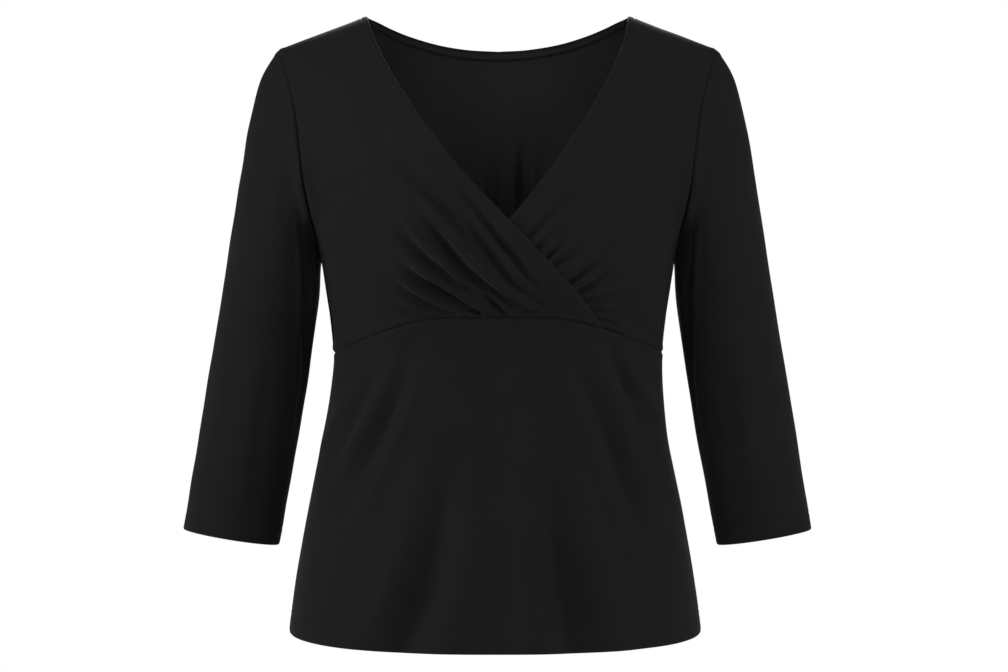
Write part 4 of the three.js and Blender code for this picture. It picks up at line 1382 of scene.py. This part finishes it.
def skin(panel):
    """The outer face of a panel's cloth."""
    return panel.points + panel.normals * (WALL / 2)


def sewn_row(name, grid, height, sizes, finish, trim=0, closed=False, start=0.0):
    """A row of stitches at a distance from a grid's border, less trim points at both ends."""
    line, ways = level_line(*grid, height)
    line, ways = line[trim : len(line) - trim], ways[trim : len(ways) - trim]
    if closed:
        line, ways = np.append(line, line[:1], 0), np.append(ways, ways[:1], 0)
    row = stitches(name, line, ways, sizes, start)
    yarn = bpy.data.materials.get("sewing_thread") or thread("sewing_thread", finish)
    row.data.materials.append(yarn)
    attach(row, "root")
    return row


def upright(distance, points, ways):
    """A grid turned so that its columns come first."""
    return distance.T, points.transpose(1, 0, 2), ways.transpose(1, 0, 2)


def hem_rows(name, panel, depth, sizes, finish, trim=0, closed=False):
    """The two rows of stitches above a hem."""
    grid = upright(panel.to_hem, skin(panel), panel.normals)
    return [
        sewn_row(f"{name}_{k + 1}", grid, depth - k * sizes.twin_gap, sizes, finish, trim, closed)
        for k in (0, 1)
    ]


class WRAPTOP_OT_fronts(bpy.types.Operator):
    """Make the two crossed fronts with their gathers and stitched neckline edges"""

    bl_idname = "wrap_top.fronts"
    bl_label = "Fronts"

    def execute(self, context):
        sizes, finish = Sizes(context.scene), context.scene.wrap_top_finish
        for node, panel, cut in (
            ("right_front", over_front(sizes), (0.30, 0.38, 0.078)),
            ("left_front", under_front(sizes), (0.28, 0.38, 0.071)),
        ):
            panel.lay(tucked(panel.points, panel.to_side))
            edge, slot = panel.to_edge, f"jersey_{node}"
            piece = cloth_wall(f"{node}_cloth", panel, FRONT_RIMS, SEAM_DRAW, edge, sizes.edge_depth)
            dress(piece, node, finish)
            grid = edge[4:-2], skin(panel)[4:-2], panel.normals[4:-2]
            row = sewn_row(f"{node}_edge_stitches", grid, sizes.edge_inset, sizes, finish)
        return {"FINISHED"}


class WRAPTOP_OT_back(bpy.types.Operator):
    """Make the back above the seam under the bust, with the band inside its neck edge"""

    bl_idname = "wrap_top.back"
    bl_label = "Back and neck band"

    def execute(self, context):
        sizes, finish = Sizes(context.scene), context.scene.wrap_top_finish
        inset = sizes.edge_inset
        panel, back, band, (points, inward, distance) = back_and_band(sizes)
        dress(back, "back_bodice", finish)
        dress(band, "back_neck_band", finish)
        at_neck = np.flatnonzero(panel.size < panel.neck_share - NECK_STITCH_MARGIN)
        keep = np.s_[-NECK_ROWS:, at_neck[0] : at_neck[-1] + 1]
        grid = upright(panel.to_top[keep], skin(panel)[keep], panel.normals[keep])
        outside = sewn_row("back_neck_stitches", grid, inset, sizes, finish)
        grid = upright(distance, points + inward * (BAND_WALL / 2), inward)
        inside = sewn_row(
            "neck_band_stitches", grid, inset, sizes, finish, trim=2, start=1.0
        )
        return {"FINISHED"}


class WRAPTOP_OT_lower_body(bpy.types.Operator):
    """Make the flared lower body with its twin-stitched hem"""

    bl_idname = "wrap_top.lower_body"
    bl_label = "Lower body"

    def execute(self, context):
        sizes, finish = Sizes(context.scene), context.scene.wrap_top_finish
        for node, face, folds, cut in (
            ("lower_front", FRONT, LOWER_FRONT_FOLDS, (0.56, 0.32, 0.15)),
            ("lower_back", BACK, LOWER_BACK_FOLDS, (0.54, 0.30, 0.138)),
        ):
            panel, slot, depth = lower_panel(face, folds, sizes), f"jersey_{node}", sizes.hem_depth
            piece = cloth_wall(f"{node}_cloth", panel, LOWER_RIMS, SEAM_DRAW, panel.to_hem, depth)
            dress(piece, node, finish)
            rows = hem_rows(f"{node}_hem_stitches", panel, depth, sizes, finish, trim=2)
        return {"FINISHED"}


class WRAPTOP_OT_sleeves(bpy.types.Operator):
    """Make the two three-quarter sleeves with their twin-stitched cuffs"""

    bl_idname = "wrap_top.sleeves"
    bl_label = "Sleeves"

    def execute(self, context):
        sizes, finish = Sizes(context.scene), context.scene.wrap_top_finish
        for node, side in (("right_sleeve", OWN_RIGHT), ("left_sleeve", OWN_LEFT)):
            panel, slot, depth = sleeve_panel(side, sizes), f"jersey_{node}", sizes.cuff_depth
            panel.lay(tucked(panel.points, panel.to_seam, panel.front))
            piece = cloth_wall(f"{node}_cloth", panel, SLEEVE_RIMS, SLEEVE_DRAW, panel.to_hem, depth)
            dress(piece, node, finish)
            rows = hem_rows(f"{node}_cuff_stitches", panel, depth, sizes, finish, closed=True)
        return {"FINISHED"}


MIDDLE_OF_TOP = (0, 0, -0.28)
FLOOR_SIDES = 96
FLOOR_RINGS = (0.25, 0.5, 1)


def area_light(name, power, size, place):
    """A soft light of two sides that points at the middle of the top."""
    lamp = bpy.data.lights.new(name, "AREA")
    lamp.shape = "RECTANGLE"
    lamp.size, lamp.size_y = size
    lamp.energy = power
    made = bpy.data.objects.new(name, lamp)
    made.location = place
    way = np.array(MIDDLE_OF_TOP) - np.array(place)
    flat = math.hypot(way[0], way[1])
    made.rotation_euler = (math.atan2(flat, -way[2]), 0, math.atan2(-way[0], way[1]))
    bpy.context.scene.collection.objects.link(made)


def round_floor(radius, height):
    """A round floor: two rings of quads about a middle that is divided into quads too."""
    turns = np.linspace(0, 2 * math.pi, FLOOR_SIDES + 1)[:-1]
    circle = np.stack([np.cos(turns), np.sin(turns), 0 * turns], -1)
    points = np.concatenate([*(circle * share for share in FLOOR_RINGS), [[0, 0, 0]]]) * radius
    points[:, 2] = height
    a = np.arange(FLOOR_SIDES)
    b = (a + 1) % FLOOR_SIDES
    rings = [np.stack([a, a + FLOOR_SIDES, b + FLOOR_SIDES, b], -1) + FLOOR_SIDES * k for k in (0, 1)]
    middle = np.stack([0 * a + len(points) - 1, a, a + 1, (a + 2) % FLOOR_SIDES], -1)[::2]
    return make_object("floor", points, np.concatenate([*rings, middle]))


class WRAPTOP_OT_studio(bpy.types.Operator):
    """Make the floor, the soft lights and the camera"""

    bl_idname = "wrap_top.studio"
    bl_label = "Studio"

    def execute(self, context):
        studio = context.scene.wrap_top_studio
        floor = round_floor(studio.floor_radius / MM, -studio.floor_drop / MM)
        floor.data.materials.append(pale_floor("pale_floor", studio.floor_colour))

        world = bpy.data.worlds.new("pale_studio")
        world.use_nodes = True
        tree = world.node_tree
        seen = add_node(tree, "ShaderNodeLightPath", {}, "Is Camera Ray")
        shown = math_node(tree, "MULTIPLY_ADD", seen, studio.backdrop - studio.fill, studio.fill)
        feed(tree, tree.nodes["Background"], {"Color": (1, 1, 1, 1), "Strength": shown})
        context.scene.world = world
        context.scene.view_settings.view_transform = "Standard"

        key = studio.key_power
        for name, power, size, place in (
            ("left_key", key, (1.2, 1.2), (-2.0, -1.7, 1.4)),
            ("right_key", key * 0.5, (1.2, 1.2), (2.0, -1.7, 1.4)),
            ("top_light", key * 0.24, (1.2, 0.8), (-0.2, -1.8, 2.3)),
            ("front_fill", studio.front_power, (1.4, 1.4), (0.5, -2.9, 0.0)),
            ("side_light", studio.side_power, (0.6, 1.8), (-2.4, -0.6, 0.1)),
            ("side_light", studio.side_power, (0.6, 1.8), (2.4, -0.6, 0.1)),
            ("back_light", studio.back_power, (2.0, 1.0), (0.0, 2.6, 1.2)),
        ):
            area_light(name, power, size, place)

        lens = bpy.data.cameras.new("photo_camera")
        lens.lens, lens.sensor_width = studio.camera_lens, 36
        lens.clip_start, lens.clip_end = 0.05, 50
        camera = bpy.data.objects.new("photo_camera", lens)
        camera.location = (studio.camera_side, -studio.camera_distance, -studio.camera_drop)
        camera.rotation_euler = (math.pi / 2, 0, 0)
        context.scene.collection.objects.link(camera)
        context.scene.camera = camera
        return {"FINISHED"}


PIECES = (
    WRAPTOP_OT_fronts,
    WRAPTOP_OT_back,
    WRAPTOP_OT_lower_body,
    WRAPTOP_OT_sleeves,
    WRAPTOP_OT_studio,
)
SETTINGS = {
    "wrap_top_sewing": WrapTopSewing,
    "wrap_top_grid": WrapTopGrid,
    "wrap_top_finish": WrapTopFinish,
    "wrap_top_studio": WrapTopStudio,
}


class WRAPTOP_PT_pieces(bpy.types.Panel):
    """The pieces of the wrap top and their settings"""

    bl_label = "Wrap top"
    bl_idname = "WRAPTOP_PT_pieces"
    bl_space_type = "VIEW_3D"
    bl_region_type = "UI"
    bl_category = "Wrap Top"

    def draw(self, context):
        for piece in PIECES:
            self.layout.operator(piece.bl_idname)
        for name, group in SETTINGS.items():
            box = self.layout.box()
            for setting in group.__annotations__:
                box.prop(getattr(context.scene, name), setting)


def register():
    for group in SETTINGS.values():
        bpy.utils.register_class(group)
    for name, group in SETTINGS.items():
        setattr(bpy.types.Scene, name, bpy.props.PointerProperty(type=group))
    for piece in (*PIECES, WRAPTOP_PT_pieces):
        bpy.utils.register_class(piece)


def unregister():
    for piece in (WRAPTOP_PT_pieces, *reversed(PIECES)):
        bpy.utils.unregister_class(piece)
    for name, group in SETTINGS.items():
        delattr(bpy.types.Scene, name)
        bpy.utils.unregister_class(group)


def main():
    register()
    bpy.ops.wrap_top.fronts()
    bpy.ops.wrap_top.back()
    bpy.ops.wrap_top.lower_body()
    bpy.ops.wrap_top.sleeves()
    bpy.ops.wrap_top.studio()


if __name__ == "__main__":
    main()
